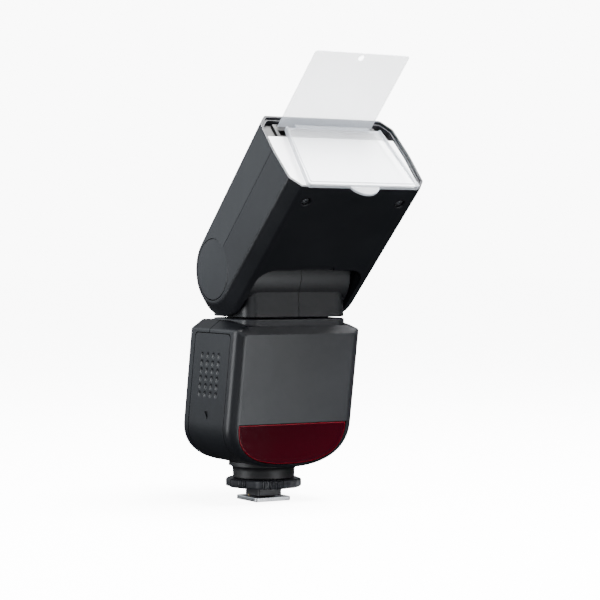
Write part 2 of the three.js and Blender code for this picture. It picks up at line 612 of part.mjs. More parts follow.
// Half of the section across the head, from its top round to its underside.
function headSection(inset) {
  const side = HEAD_HALF_WIDTH - inset;
  const top = HEAD_TOP + inset;
  const under = HEAD_UNDER - inset;
  const out = EDGE_OUT - inset * 0.4;
  const down = EDGE_DOWN - inset * 0.4;
  const right = [[side - out - 1.4, top, 3], [side, top + down, 3], [side + HEAD_BULGE, 0],
    [side, under - down, 2.5], [side - out, under, 1.5]];
  const left = right.map(([x, v, r]) => [-x, v, r]).reverse();
  return rounded([...right, ...left], 2);
}

// Thickness of the head as a share of its thickness at the rim.
const TAPER = HEAD_END_RADIUS / HEAD_UNDER;
const taper = (u) => TAPER + (1 - TAPER) * Math.max(0, u / HEAD_LENGTH);

// The head's outer form, or the same form a wall further in: a tapered block that runs into a
// drum about the pivot with chamfered ends.
function headForm(inset, from, to) {
  const shape = new THREE.Shape(headSection(inset));
  const geometry = new THREE.ExtrudeGeometry(shape, { depth: to - from, bevelEnabled: false });
  geometry.translate(0, 0, -to).rotateX(PI / 2);
  const position = geometry.getAttribute("position");
  for (let i = 0; i < position.count; i++) {
    position.setZ(i, position.getZ(i) * taper(position.getY(i)));
  }
  return solid(geometry);
}
const chamferRadius = HEAD_END_RADIUS - EDGE_DOWN;
const drum = turned([
  [0, -HEAD_HALF_WIDTH - HEAD_BULGE], [chamferRadius, -HEAD_HALF_WIDTH],
  [HEAD_END_RADIUS, EDGE_OUT - HEAD_HALF_WIDTH], [HEAD_END_RADIUS, HEAD_HALF_WIDTH - EDGE_OUT],
  [chamferRadius, HEAD_HALF_WIDTH], [0, HEAD_HALF_WIDTH + HEAD_BULGE],
], "x", [0, 0, 0], 48);
const headBody = join(headForm(0, 0, HEAD_LENGTH), drum);
const CAVITY_START = BAY_EDGE + BULKHEAD;
const headCavity = headForm(WALL, CAVITY_START, HEAD_LENGTH + 1);

// Room for the knuckle: a drum, a rounded window in the underside, and a wedge open to the rear.
function baySolid() {
  const across = [-BAY_HALF_WIDTH, BAY_HALF_WIDTH];
  const room = rod(BARREL_RADIUS + 0.6, ...across, "x", [0, 0, 0], 48);
  const opening = rounded([[-BAY_HALF_WIDTH, -FAR], [BAY_HALF_WIDTH, -FAR],
    [BAY_HALF_WIDTH, BAY_EDGE, BAY_CORNER], [-BAY_HALF_WIDTH, BAY_EDGE, BAY_CORNER]]);
  const underside = prism(opening, "xy", BARREL_RADIUS - 10.4, FAR);
  const wedge = [[0, 0], [-20, -36], [-FAR, -36], [-FAR, FAR], [0, FAR]]
    .map(([u, v]) => new THREE.Vector2(u, v));
  return join(room, underside, prism(wedge, "yz", ...across));
}
const bay = baySolid();
const capFace = HEAD_HALF_WIDTH - 1.3;
const capPockets = [1, -1].map((side) => {
  const pocket = rod(CAP_RADIUS + GAP, capFace - GAP, FAR, "x", [0, 0, 0], 40);
  return side > 0 ? pocket : pocket.mirror([1, 0, 0]);
});
const axleBore = rod(AXLE_RADIUS + GAP, -FAR, FAR, "x", [0, 0, 0], 24);
const headShell = cut(headBody, headCavity, bay, axleBore, ...capPockets);
const screwHoles = [-1, 1].map((side) =>
  rod(SCREW_RADIUS + GAP, 0, FAR, "z", [side * SCREW_AT[0], SCREW_AT[1], 0], 12));
const upperHalf = box([-FAR, FAR], [-FAR, FAR * 2], [-FAR, -GAP / 2]);
const lowerHalf = box([-FAR, FAR], [-FAR, FAR * 2], [GAP / 2, FAR]);
add(head, "head_shell_top", common(headShell, upperHalf), LOOKS.shell);
add(head, "head_shell_under", cut(common(headShell, lowerHalf), ...screwHoles), LOOKS.shell);

const capProfile = [[0, capFace], [CAP_RADIUS, capFace], [CAP_RADIUS, capFace + CAP_THICK - 0.2],
  [0, capFace + CAP_THICK + 0.2]];
const cap = turned(capProfile, "x", [0, 0, 0], 40);
add(head, "pivot_cap_right", cap, LOOKS.shell);
add(head, "pivot_cap_left", cap.mirror([1, 0, 0]), LOOKS.shell);
add(head, "tilt_axle", rod(AXLE_RADIUS, GAP - capFace, capFace - GAP, "x", [0, 0, 0], 24), LOOKS.silver);
const detentOutline = (teeth) => Array.from({ length: teeth * 4 }, (_, k) => {
  const radius = DETENT_RADIUS - (k % 4 === 0 ? 1 : 0);
  const angle = (PI * k) / (2 * teeth);
  return new THREE.Vector2(radius * cos(angle), radius * sin(angle));
});
const detentBore = rod(AXLE_RADIUS + GAP, -FAR, FAR, "x", [0, 0, 0], 24);
add(head, "detent_wheel", cut(prism(detentOutline(12), "yz", DETENT_X, DETENT_X + DETENT_THICK), detentBore),
  LOOKS.silver);
[-1, 1].forEach((side, i) => {
  const screw = rod(SCREW_RADIUS, HEAD_UNDER - 5, HEAD_UNDER - 1, "z",
    [side * SCREW_AT[0], SCREW_AT[1], 0], 12);
  add(head, `head_screw_${i + 1}`, screw, LOOKS.silver);
});

// ---------------------------------------------------------------- lens, card and wide panel
const LENS_FACE = HEAD_LENGTH - LENS_SET_BACK;
function lensSolid() {
  const plate = headForm(WALL + GAP, LENS_FACE - LENS_THICK, LENS_FACE);
  return common(plate, box([-FAR, FAR], [-FAR, FAR * 2], [LENS_TOP, FAR]));
}
add(head, "fresnel_lens", lensSolid(), LOOKS.glass);
const FRAME_BACK = LENS_FACE - LENS_THICK - GAP - 3;
function lensFrameSolid() {
  const outer = headForm(WALL + GAP, FRAME_BACK, LENS_FACE - LENS_THICK - GAP);
  const hole = headForm(WALL + GAP + 1.5, FRAME_BACK - 1, LENS_FACE);
  const window = common(hole, box([-FAR, FAR], [-FAR, FAR * 2], [LENS_TOP + 1.5, FAR]));
  return cut(common(outer, box([-FAR, FAR], [-FAR, FAR * 2], [LENS_TOP, FAR])), window);
}
add(head, "lens_frame", lensFrameSolid(), LOOKS.dark);

const TRAY_BACK = CARD_END - CARD_LENGTH * 2 + 6;
const TRAY_TOP = (HEAD_TOP + WALL) * taper(TRAY_BACK) + 0.2;
const TRAY_UNDER = PANEL_LEVEL + PANEL_HINGE + 1.3;
const CARD_SLOT = 0.5;
function traySolid() {
  const half = CARD_HALF_WIDTH + 2.6;
  const whole = box([-half, half], [TRAY_BACK, LENS_FACE], [TRAY_TOP, TRAY_UNDER]);
  const cardSlot = box([-CARD_HALF_WIDTH - 0.6, CARD_HALF_WIDTH + 0.6], [TRAY_BACK - 1, FAR * 2],
    [CARD_LEVEL - CARD_SLOT, CARD_LEVEL + CARD_SLOT]);
  const panelSlot = box([-PANEL_HALF_TOP - 0.6, PANEL_HALF_TOP + 0.6], [TRAY_BACK - 1, FAR * 2],
    [PANEL_LEVEL - PANEL_HINGE - 0.6, PANEL_LEVEL + PANEL_HINGE + 0.4]);
  return cut(whole, cardSlot, panelSlot);
}
add(head, "card_tray", traySolid(), LOOKS.dark);

const cardOutline = rounded([
  [-CARD_HALF_WIDTH, CARD_END - CARD_LENGTH], [CARD_HALF_WIDTH, CARD_END - CARD_LENGTH],
  [CARD_HALF_WIDTH, CARD_END, 1.2], [-CARD_HALF_WIDTH, CARD_END, 1.2],
], 3);
const cardHole = rod(CARD_HOLE, -FAR, FAR, "z", [0, CARD_END - 2.7, 0], 16);
add(head, "bounce_card", cut(prism(cardOutline, "xy", CARD_LEVEL - CARD_THICK / 2,
  CARD_LEVEL + CARD_THICK / 2), cardHole), LOOKS.card);

// The wide panel: a plate on a hinge bar, with raised side lips, a foot lip and a finger tab.
function widePanelSolid() {
  const near = HEAD_LENGTH + PANEL_PROUD;
  const far = near + PANEL_THICK;
  const plate = [[-PANEL_HALF_TOP, PANEL_LEVEL + 1], [PANEL_HALF_TOP, PANEL_LEVEL + 1],
    [PANEL_HALF_LIP, PANEL_LIP], [-PANEL_HALF_LIP, PANEL_LIP]].map(([x, v]) => new THREE.Vector2(x, v));
  const inner = [[-PANEL_HALF_TOP + 1.4, PANEL_LEVEL - 5], [PANEL_HALF_TOP - 1.4, PANEL_LEVEL - 5],
    [PANEL_HALF_LIP - 1.6, PANEL_LIP - 1.8], [1.6 - PANEL_HALF_LIP, PANEL_LIP - 1.8]]
    .map(([x, v]) => new THREE.Vector2(x, v));
  const slab = prism(plate, "xz", near, far + 0.9);
  const dish = prism(inner, "xz", far, FAR * 2);
  const tabRadius = 8.4;
  const tab = common(
    rod(tabRadius, near, far, "y", [0, 0, PANEL_TAB - tabRadius], 24),
    box([-FAR, FAR], [0, FAR * 2], [PANEL_LIP - 1, FAR]));
  const bar = rod(PANEL_HINGE, -19, 19, "x", [0, near + PANEL_THICK / 2, PANEL_LEVEL], 12);
  return join(cut(slab, dish), tab, bar);
}
add(head, "wide_panel", widePanelSolid(), LOOKS.clear);

// ---------------------------------------------------------------- lamp and zoom drive
const BEAM_LEVEL = (LENS_TOP + HEAD_UNDER - WALL) / 2;
const REFLECTOR_BACK = REFLECTOR_MOUTH_AT - REFLECTOR_DEPTH;
function troughOutline(skin) {
  const steps = 12;
  const halfMouth = REFLECTOR_HALF_MOUTH + skin;
  return Array.from({ length: steps + 1 }, (_, k) => {
    const across = (2 * k) / steps - 1;
    const u = REFLECTOR_BACK - skin + (REFLECTOR_DEPTH + skin) * across * across;
    return new THREE.Vector2(u, BEAM_LEVEL + halfMouth * across);
  });
}
function reflectorSolid() {
  const half = REFLECTOR_HALF_WIDTH;
  const outer = prism(troughOutline(REFLECTOR_SKIN), "yz", -half, half);
  const inner = prism(troughOutline(0), "yz", REFLECTOR_SKIN - half, half - REFLECTOR_SKIN);
  const tubeHoles = rod(TUBE_RADIUS + GAP, -FAR, FAR, "x", [0, REFLECTOR_BACK + 5, BEAM_LEVEL], 16);
  return cut(outer, inner, tubeHoles);
}
add(head, "reflector", reflectorSolid(), LOOKS.silver);
add(head, "flash_tube", rod(TUBE_RADIUS, -REFLECTOR_HALF_WIDTH - 1.2, REFLECTOR_HALF_WIDTH + 1.2, "x",
  [0, REFLECTOR_BACK + 5, BEAM_LEVEL], 16), LOOKS.glass);
const DRIVE_X = 27.6;
const DRIVE_RADIUS = 1.5;
const DRIVE_LEVEL = BEAM_LEVEL + 6;
const driveAt = [DRIVE_X, 0, DRIVE_LEVEL];
const MOTOR_BACK = REFLECTOR_MOUTH_AT - 12;
function carriageSolid() {
  const back = REFLECTOR_BACK - REFLECTOR_SKIN - GAP;
  const plate = box([-15, DRIVE_X + 3], [back - 1.6, back], [BEAM_LEVEL - 5, DRIVE_LEVEL + 3]);
  return cut(plate, rod(DRIVE_RADIUS + SLIP, -FAR, FAR * 2, "y", driveAt, 12));
}
add(head, "zoom_carriage", carriageSolid(), LOOKS.dark);
const screwBack = REFLECTOR_BACK - ZOOM_TRAVEL - 3;
add(head, "zoom_screw", rod(DRIVE_RADIUS, screwBack, MOTOR_BACK - GAP, "y", driveAt, 12), LOOKS.silver);
add(head, "zoom_motor", rod(4.2, MOTOR_BACK, FRAME_BACK - GAP - 1, "y", driveAt, 20), LOOKS.silver);

export default object;
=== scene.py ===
# %% [markdown]
# # A camera flash, built piece by piece
# This file dresses a battery flash for a camera's accessory shoe. The part itself is already packed
# as a frame of plain solids with joints. Here each visible solid gets a finer mesh and a finish of
# its own, and rides on the same body, so the head still tilts and the battery door still opens.
# Everything is laid out in millimetres first, because the numbers are then those of a drawing, and is
# scaled to metres when a piece is finished.

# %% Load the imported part
import json
import bpy
import bmesh
from math import acos, atan2, cos, degrees, pi, radians, sin, sqrt, tan
from mathutils import Matrix, Vector


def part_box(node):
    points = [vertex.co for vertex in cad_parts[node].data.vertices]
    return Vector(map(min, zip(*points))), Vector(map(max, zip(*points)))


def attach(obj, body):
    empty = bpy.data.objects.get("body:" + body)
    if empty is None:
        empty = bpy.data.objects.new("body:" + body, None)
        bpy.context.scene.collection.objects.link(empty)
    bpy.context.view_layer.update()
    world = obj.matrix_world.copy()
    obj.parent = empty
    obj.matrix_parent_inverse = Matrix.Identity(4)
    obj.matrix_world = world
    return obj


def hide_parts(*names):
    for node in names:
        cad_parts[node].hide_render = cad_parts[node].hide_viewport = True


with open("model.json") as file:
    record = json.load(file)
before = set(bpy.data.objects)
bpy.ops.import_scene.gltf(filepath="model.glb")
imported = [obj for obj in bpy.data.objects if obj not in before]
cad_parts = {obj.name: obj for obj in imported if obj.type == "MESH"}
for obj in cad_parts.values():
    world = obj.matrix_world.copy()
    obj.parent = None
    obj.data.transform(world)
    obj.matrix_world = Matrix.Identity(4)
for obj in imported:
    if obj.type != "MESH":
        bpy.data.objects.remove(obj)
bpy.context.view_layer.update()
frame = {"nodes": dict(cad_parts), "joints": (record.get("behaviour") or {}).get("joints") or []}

# %% [markdown]
# ## The frames that the pieces are drawn in
# A flash is not built square to the world: the body leans forward, the rear panel leans with it, and the
# head is stored tilted. Each group of pieces is drawn in its own straight frame and then carried over.
# The joints already hold these directions (the door slides down the lean, the dial turns about the
# panel's normal, the card slides along the head), so the frames are read from them and not typed in.

# %% Read the frames from the joints
MM = 0.001
joints = {joint["name"]: joint for joint in frame["joints"]}


def axis_of(name):
    return Vector(joints[name]["axis"]).normalized()


def centre_of(name):
    return Vector(joints[name]["pos_m"]) / MM


def frame_at(origin, across, up, out):
    """A turned frame in millimetres, from the directions of its three axes."""
    turned_frame = Matrix((across, up, out)).transposed().to_4x4()
    turned_frame.translation = origin
    return turned_frame


down_the_door = axis_of("door_unlatch")
SLOPE = -down_the_door.y / down_the_door.z
LEAN = Matrix(((1, 0, 0, 0), (0, 1, -SLOPE, 0), (0, 0, 1, 0), (0, 0, 0, 1)))

PIVOT = centre_of("head_tilt")
towards_lens = axis_of("card_slide")
HEAD = frame_at(PIVOT, Vector((1, 0, 0)), towards_lens, Vector((1, 0, 0)).cross(towards_lens))

DIAL_UP = -16.0
out_of_panel = axis_of("dial_turn")
panel_up = out_of_panel.cross(Vector((-1, 0, 0)))
PANEL = frame_at(centre_of("dial_turn") - panel_up * DIAL_UP, Vector((-1, 0, 0)), panel_up, out_of_panel)
print("lean", round(degrees(atan2(SLOPE, 1)), 2), "pivot", [round(v, 1) for v in PIVOT])

# %% [markdown]
# ## Node trees written as expressions
# A finish is a tree of shader nodes. Wiring nodes one by one hides the idea, so one small class wraps a
# socket and lets Python's own operators add the Math nodes: `0.4 + grain * 0.1` reads as what it does.
# Every other node comes from one method, which takes the node's type, its settings and its inputs.

# %% A socket that does arithmetic, and a finish that makes nodes
class Signal:
    """One output socket. Arithmetic on it adds Math nodes to the same finish."""

    def __init__(self, finish, socket):
        self.finish, self.socket = finish, socket

    def math(self, operation, *values):
        return self.finish.node("Math", {"operation": operation}, dict(enumerate(values)))

    def __add__(self, other):
        return self.math("ADD", self, other)

    def __sub__(self, other):
        return self.math("SUBTRACT", self, other)

    def __rsub__(self, other):
        return self.math("SUBTRACT", other, self)

    def __mul__(self, other):
        return self.math("MULTIPLY", self, other)

    def __gt__(self, other):
        return self.math("GREATER_THAN", self, other)

    def __lt__(self, other):
        return self.math("LESS_THAN", self, other)

    def __abs__(self):
        return self.math("ABSOLUTE", self)

    __radd__ = __add__
    __rmul__ = __mul__


class Finish:
    """A material with a Principled shader, and the methods that feed it."""

    def __init__(self, name, **constants):
        self.material = bpy.data.materials.new(name)
        self.material.use_nodes = True
        self.tree = self.material.node_tree
        self.shader = self.tree.nodes["Principled BSDF"]
        for socket, value in constants.items():
            self.shader.inputs[socket.replace("_", " ")].default_value = value
        self.place = self.node("TexCoord", output="Object")

    def feed(self, socket, value):
        if isinstance(value, Signal):
            self.tree.links.new(value.socket, socket)
        else:
            socket.default_value = value

    def node(self, kind, settings=None, inputs=None, output=0):
        made = self.tree.nodes.new("ShaderNode" + kind)
        for key, value in (settings or {}).items():
            setattr(made, key, value)
        for key, value in (inputs or {}).items():
            self.feed(made.inputs[key], value)
        return Signal(self, made.outputs[output])

    def mix(self, share, one, other):
        """A colour between two colours, each (r, g, b) or a Signal."""
        one, other = [c if isinstance(c, Signal) else (*c, 1.0) for c in (one, other)]
        return self.node("Mix", {"data_type": "RGBA"}, {0: share, 6: one, 7: other}, output=2)

    def noise(self, scale, detail=2.0, stretch=(1, 1, 1), roughness=0.5):
        """Grain with this many features in a metre, longer along an axis stretched by less than 1."""
        placed = self.node("Mapping", None, {"Vector": self.place, "Scale": stretch})
        return self.node("TexNoise", None, {"Vector": placed, "Scale": scale, "Detail": detail,
                                            "Roughness": roughness})

    def spread(self, signal, low, high, to_low=0.0, to_high=1.0):
        return self.node("MapRange", None, {0: signal, 1: low, 2: high, 3: to_low, 4: to_high})

    def bump(self, height, depth, strength=1.0):
        """Feeds a height from 0 to 1 into the surface's normal, with its full depth in metres."""
        lifted = self.node("Bump", None, {"Height": height, "Distance": depth, "Strength": strength})
        self.feed(self.shader.inputs["Normal"], lifted)

    def set(self, **inputs):
        for socket, value in inputs.items():
            self.feed(self.shader.inputs[socket.replace("_", " ")], value)
        return self


print("finish helpers ready")

# %% [markdown]
# ## Moulded plastic
# The shells of such a flash are injection moulded in glass filled black plastic, and the mould is
# spark eroded, which leaves a grain of a few tenths of a millimetre. That grain, and not the colour,
# is what makes the plastic look satin instead of wet. A cloudy change in roughness stands for
# handling, and a slow change in colour for the flow of the plastic. One recipe makes the shell, the
# darker knuckle and the trim, so that they look like one family.

# %% Moulded plastic finishes
def moulded(name, colour, rough, grain_scale=2600, grain_depth=0.00004, strength=0.35, clouds=0.08):
    made = Finish(name, IOR=1.5)
    grain = made.noise(grain_scale, 2.0, roughness=0.6)
    cloud = made.noise(38, 3.0)
    smear = made.noise(160, 4.0, stretch=(1, 1, 0.3))
    paler = tuple(c * 1.22 + 0.001 for c in colour)
    tint = made.mix(made.spread(cloud, 0.35, 0.65), colour, paler)
    flecked = made.mix(made.spread(grain, 0.55, 0.8, 0, 0.4), tint, tuple(c * 1.6 for c in colour))
    made.set(Base_Color=flecked,
             Roughness=rough + (cloud - 0.5) * clouds + (smear - 0.5) * clouds + (grain - 0.5) * 0.1)
    made.bump(grain, grain_depth, strength)
    return made


shell_plastic = moulded("satin_shell_plastic", (0.0105, 0.0112, 0.0138), 0.4)
dark_plastic = moulded("dark_moulded_plastic", (0.0078, 0.0082, 0.01), 0.42, 2200)
trim_plastic = moulded("fine_trim_plastic", (0.021, 0.022, 0.026), 0.36, 3200)
# Also laid on the shoe neck, which is shell moulding: there this darker plastic is painted shade.
inner_plastic_and_painted_shade = moulded("inner_black_plastic_and_painted_shade", (0.006, 0.006, 0.0065), 0.5, 1500)
print("moulded finishes", len(bpy.data.materials))

# %% [markdown]
# ## Bare metal
# The foot is a plated plate with a satin face: it has been tumbled and wiped, so its scratches run
# every way but mostly along the shoe. Screws and springs are plain bright steel, and the contact
# pins are thinly gold plated. Stretched noise gives lines instead of spots, and feeds roughness more
# than height, because fine scratches show in the highlight and not in the outline.

# %% Metal finishes
def brushed(name, colour, rough, stretch=(1, 0.06, 1), scale=2400, depth=0.000012):
    made = Finish(name, Metallic=1.0)
    lines = made.noise(scale, 3.0, stretch=stretch)
    clouds = made.noise(120, 3.0)
    spots = made.spread(made.noise(700, 2.0), 0.62, 0.72)
    duller = tuple(c * 0.72 for c in colour)
    tone = made.mix(made.spread(clouds, 0.3, 0.7), duller, colour)
    made.set(Base_Color=made.mix(spots * 0.35, tone, tuple(c * 0.5 for c in colour)),
             Roughness=rough + (lines - 0.5) * 0.22 + (clouds - 0.5) * 0.12)
    made.bump(lines, depth, 0.5)
    return made


foot_metal = brushed("satin_plated_foot", (0.74, 0.75, 0.77), 0.3)
steel = brushed("bright_steel", (0.6, 0.61, 0.63), 0.28, stretch=(0.08, 1, 1))
contact_gold = brushed("gold_plated_contact", (0.86, 0.64, 0.3), 0.24, stretch=(1, 1, 0.1))
bright_reflector = brushed("polished_reflector", (0.9, 0.9, 0.91), 0.1, stretch=(0.05, 1, 1), depth=0.000004)
print("metal finishes ready")

# %% [markdown]
# ## Clear, white and red plastics
# The window that hides the focus lamp is dyed so dark that it looks nearly black. The red where light
# falls through its edge is painted: the rim's faces get a brighter red finish, a painted glow. The lens
# and the wide panel are clear acrylic; the card is a milky sheet. Each lets through what lies behind it
# by its Alpha, less where the plastic is seen edge on; the wide panel's edge faces are also a greyer
# copy of the acrylic, a painted edge sheen. Each has fine ripples in its normal as a mould leaves them.
# The two lamps behind red plastic glow a little.

# %% Clear, milky and red finishes
def clear(name, colour, rough, ripple_scale, depth, **constants):
    made = Finish(name, IOR=1.49, **constants)
    ripple = made.noise(ripple_scale, 2.0)
    haze = made.noise(90, 3.0)
    made.set(Base_Color=made.mix(made.spread(haze, 0.3, 0.7), colour, tuple(c * 0.96 for c in colour)),
             Roughness=rough + (haze - 0.5) * rough * 0.7)
    made.bump(ripple, depth, 0.35)
    return made


clear_plastic = clear("clear_acrylic", (0.95, 0.97, 1.0), 0.06, 260, 0.00002, Alpha=0.22, Coat_Weight=0.5)
# A greyer, less clear copy of the acrylic for edge faces: painted edge sheen.
clear_painted_edge_sheen = clear("clear_acrylic_painted_edge_sheen", (0.5, 0.53, 0.58), 0.08, 400, 0.00002, Alpha=0.8, Coat_Weight=0.6)
lens_plastic = clear("lens_acrylic", (0.98, 0.98, 0.99), 0.22, 900, 0.00001,
                     Specular_IOR_Level=0.6)
card_plastic = clear("milky_card", (0.92, 0.95, 1.0), 0.34, 1700, 0.00001, Alpha=0.45,
                     Coat_Weight=0.15)
red_window = clear("red_window_face", (0.036, 0.002, 0.006), 0.14, 300, 0.00001, Specular_IOR_Level=0.07,
                   Alpha=0.8)
# Brighter red for the rim's faces: painted glow of light falling through the edge; the dye is the darker face
# colour.
red_rim_painted_glow = clear("red_window_painted_rim_glow", (0.17, 0.004, 0.012), 0.14, 300, 0.00001, Specular_IOR_Level=0.3)
red_lamp = clear("red_lamp_lens", (0.62, 0.006, 0.02), 0.2, 900, 0.00001, Coat_Weight=0.3,
                 Emission_Color=(0.9, 0.01, 0.04, 1), Emission_Strength=1.2)
lamp_glow = clear("focus_lamp_glow", (0.7, 0.01, 0.04), 0.3, 900, 0.00001,
                  Emission_Color=(1.0, 0.02, 0.08, 1), Emission_Strength=9.0)
# Grey bands painted across the lens, one at each prism step: painted shade of the steps, over the real
# grooves in the mesh.
down_the_lens, up_the_lens = [
    lens_plastic.node("SeparateXYZ", None, {"Vector": lens_plastic.place}, output=axis) for axis in (1, 2)]
PRISM_TURNS = 5553  # radians a metre along the two axes together, which makes one line for each prism
across_prisms = (down_the_lens + up_the_lens) * PRISM_TURNS
prism_step_painted_shade = across_prisms.math("SINE", across_prisms)
lens_plastic.set(Base_Color=lens_plastic.mix(lens_plastic.spread(prism_step_painted_shade, 0.3, 1.0, 0, 0.6),
                                             (0.98, 0.98, 0.99), (0.66, 0.69, 0.74)))
print("clear and red finishes ready")

# %% [markdown]
# ## Finishes that carry a pattern
# A few pieces show a pattern that belongs to them: the jacket of a cell is printed in two bands, a
# circuit board has copper tracks under its green lacquer, and a display has fine rows. These patterns
# are made from the Object coordinates, so they stay with the piece and need no image.

# %% Patterned finishes
def banded_cell():
    made = Finish("printed_cell_jacket", Metallic=0.6, Coat_Weight=0.5)
    x = made.node("SeparateXYZ", None, {"Vector": made.place})
    end_band = made.spread(x, -0.018, -0.0165)
    scuffs = made.noise(420, 4.0, stretch=(0.3, 1, 1))
    jacket = made.mix(end_band, (0.52, 0.36, 0.09), (0.022, 0.03, 0.05))
    made.set(Base_Color=made.mix(made.spread(scuffs, 0.5, 0.75, 0, 0.35), jacket, (0.3, 0.31, 0.33)),
             Roughness=0.28 + (scuffs - 0.5) * 0.2)
    made.bump(scuffs, 0.00001, 0.4)
    return made


def lacquered_board():
    made = Finish("lacquered_circuit_board", Coat_Weight=0.4)
    tracks = made.node("TexWave", {"wave_type": "BANDS", "bands_direction": "X"},
                       {"Vector": made.place, "Scale": 180, "Distortion": 9, "Detail": 2}, output=1)
    pads = made.node("TexVoronoi", None, {"Vector": made.place, "Scale": 420})
    copper = made.mix(tracks > 0.6, (0.008, 0.06, 0.022), (0.02, 0.13, 0.045))
    made.set(Base_Color=made.mix(pads < 0.14, copper, (0.55, 0.5, 0.35)), Roughness=0.36 + tracks * 0.08)
    made.bump(tracks, 0.00003, 0.5)
    return made


def sleeved_capacitor():
    made = Finish("sleeved_capacitor_can", Coat_Weight=0.2)
    along = made.node("SeparateXYZ", None, {"Vector": made.place}, output=2)
    wrinkles = made.noise(900, 3.0, stretch=(0.2, 1, 1))
    stripe = made.spread(along, 0.0345, 0.0352)
    sleeve = made.mix(stripe, (0.006, 0.009, 0.022), (0.42, 0.43, 0.45))
    made.set(Base_Color=made.mix(made.spread(wrinkles, 0.5, 0.8, 0, 0.3), sleeve, (0.05, 0.055, 0.07)),
             Roughness=0.32 + (wrinkles - 0.5) * 0.2)
    made.bump(wrinkles, 0.00003, 0.4)
    return made


def display():
    made = Finish("reflective_display", Coat_Weight=0.8)
    x = made.node("SeparateXYZ", None, {"Vector": made.place})
    rows = made.node("TexWave", {"bands_direction": "Z"}, {"Vector": made.place, "Scale": 620}, output=1)
    cloud = made.noise(60, 2.0)
    tone = made.mix(made.spread(cloud, 0.3, 0.7), (0.15, 0.19, 0.14), (0.2, 0.24, 0.17))
    made.set(Base_Color=made.mix(rows * 0.12 + abs(x) * 2, tone, (0.07, 0.09, 0.07)),
             Roughness=0.22 + (cloud - 0.5) * 0.1)
    made.bump(rows, 0.00001, 0.3)
    return made


cell_can, circuit_board = banded_cell(), lacquered_board()
capacitor_can, screen_finish = sleeved_capacitor(), display()

# The finish that belongs to each material slot of the part.
FINISHES = {"shell_plastic": shell_plastic, "dark_plastic": dark_plastic, "trim_plastic": trim_plastic,
            "foot_metal": foot_metal, "steel": steel, "contact_gold": contact_gold,
            "lens_plastic": lens_plastic, "card_plastic": card_plastic, "clear_plastic": clear_plastic,
            "red_window": red_window, "red_lamp": red_lamp, "screen": screen_finish}
print("materials", len(bpy.data.materials))

# %% [markdown]
# ## From an outline to a solid
# Nearly everything on a flash is a moulding: an outline pushed to a thickness, with rounded upright
# corners and a small radius on its rims. The same four steps make all of them: a face from its corner
# points, an extrusion, a bevel of each upright edge by its corner radius, and a bevel of the rims. A
# corner is given as (a, b, radius).

# %% Plates with rounded corners and rims
ALONG_Y = Matrix(((1, 0, 0, 0), (0, 0, 1, 0), (0, 1, 0, 0), (0, 0, 0, 1)))
ALONG_X = Matrix(((0, 0, 1, 0), (1, 0, 0, 0), (0, 1, 0, 0), (0, 0, 0, 1)))


def tidy(bm, merge=1e-4):
    bmesh.ops.remove_doubles(bm, verts=bm.verts[:], dist=merge)
    bmesh.ops.recalc_face_normals(bm, faces=bm.faces[:])
    return bm


def placed(bm, *frames):
    for each in frames:
        bmesh.ops.transform(bm, matrix=each, verts=bm.verts[:])
    bmesh.ops.recalc_face_normals(bm, faces=bm.faces[:])
    return bm


def bevel_edges(bm, edges, width, segments=3):
    if edges and width:
        bmesh.ops.bevel(bm, geom=edges, offset=width, segments=segments, profile=0.5,
                        affect="EDGES", clamp_overlap=True, material=-1)


def cut_back(corners, index):
    """How far a corner's arc starts from the corner."""
    here = Vector(corners[index][:2])
    one = Vector(corners[index - 1][:2]) - here
    other = Vector(corners[(index + 1) % len(corners)][:2]) - here
    return corners[index][2] / tan(one.angle(other) / 2)


def plate(corners, low, high, rim_low=0.0, rim_high=0.0, steps=6, rim_steps=3):
    """A plate on an outline of (a, b, radius), from one level to another along the third axis."""
    corners = [(*corner, 0.0)[:3] for corner in corners]
    bm = bmesh.new()
    floor_face = bm.faces.new([bm.verts.new((a, b, low)) for a, b, _ in corners])
    grown = bmesh.ops.extrude_face_region(bm, geom=[floor_face])["geom"]
    bmesh.ops.translate(bm, verts=[g for g in grown if isinstance(g, bmesh.types.BMVert)],
                        vec=(0, 0, high - low))
    for index, (a, b, radius) in enumerate(corners):
        if radius:
            upright = [e for e in bm.edges if all(abs(v.co.x - a) < 1e-5 and abs(v.co.y - b) < 1e-5
                                                  for v in e.verts)]
            bevel_edges(bm, upright, cut_back(corners, index), steps)
    for level, rim in ((low, rim_low), (high, rim_high)):
        bevel_edges(bm, [e for e in bm.edges if all(abs(v.co.z - level) < 1e-5 for v in e.verts)],
                    rim, rim_steps)
    return tidy(bm)


def box_corners(half, low, high, radius=0.0):
    return [(-half, low, radius), (half, low, radius), (half, high, radius), (-half, high, radius)]


def block(x, y, z, rim=0.0):
    """A box from its three spans, with its rims broken."""
    return plate([(x[0], y[0]), (x[1], y[0]), (x[1], y[1]), (x[0], y[1])], z[0], z[1], rim, rim)


print("plate helpers ready")

# %% [markdown]
# ## Turned pieces and lofts
# Round pieces are spun from half of their section, as on a lathe. Bodies whose section changes along
# their length are lofted: rings of points are laid one behind another and the rings are bridged. That
# is how the leaning body and the lamp head get corners that flow into each other, which a stack of cut
# boxes can't give.

# %% Spins, lofts and cuts
def turned(profile, axis=(0, 0, 1), at=(0, 0, 0), steps=64):
    """A profile of (radius, height) spun about an axis through a point."""
    bm = bmesh.new()
    verts = [bm.verts.new((radius, 0, height)) for radius, height in profile]
    edges = [bm.edges.new(pair) for pair in zip(verts, verts[1:])]
    bmesh.ops.spin(bm, geom=verts + edges, cent=(0, 0, 0), axis=(0, 0, 1), angle=2 * pi, steps=steps,
                   use_merge=True)
    tidy(bm)
    lie = Vector((0, 0, 1)).rotation_difference(Vector(axis)).to_matrix().to_4x4()
    return placed(bm, lie, Matrix.Translation(at))


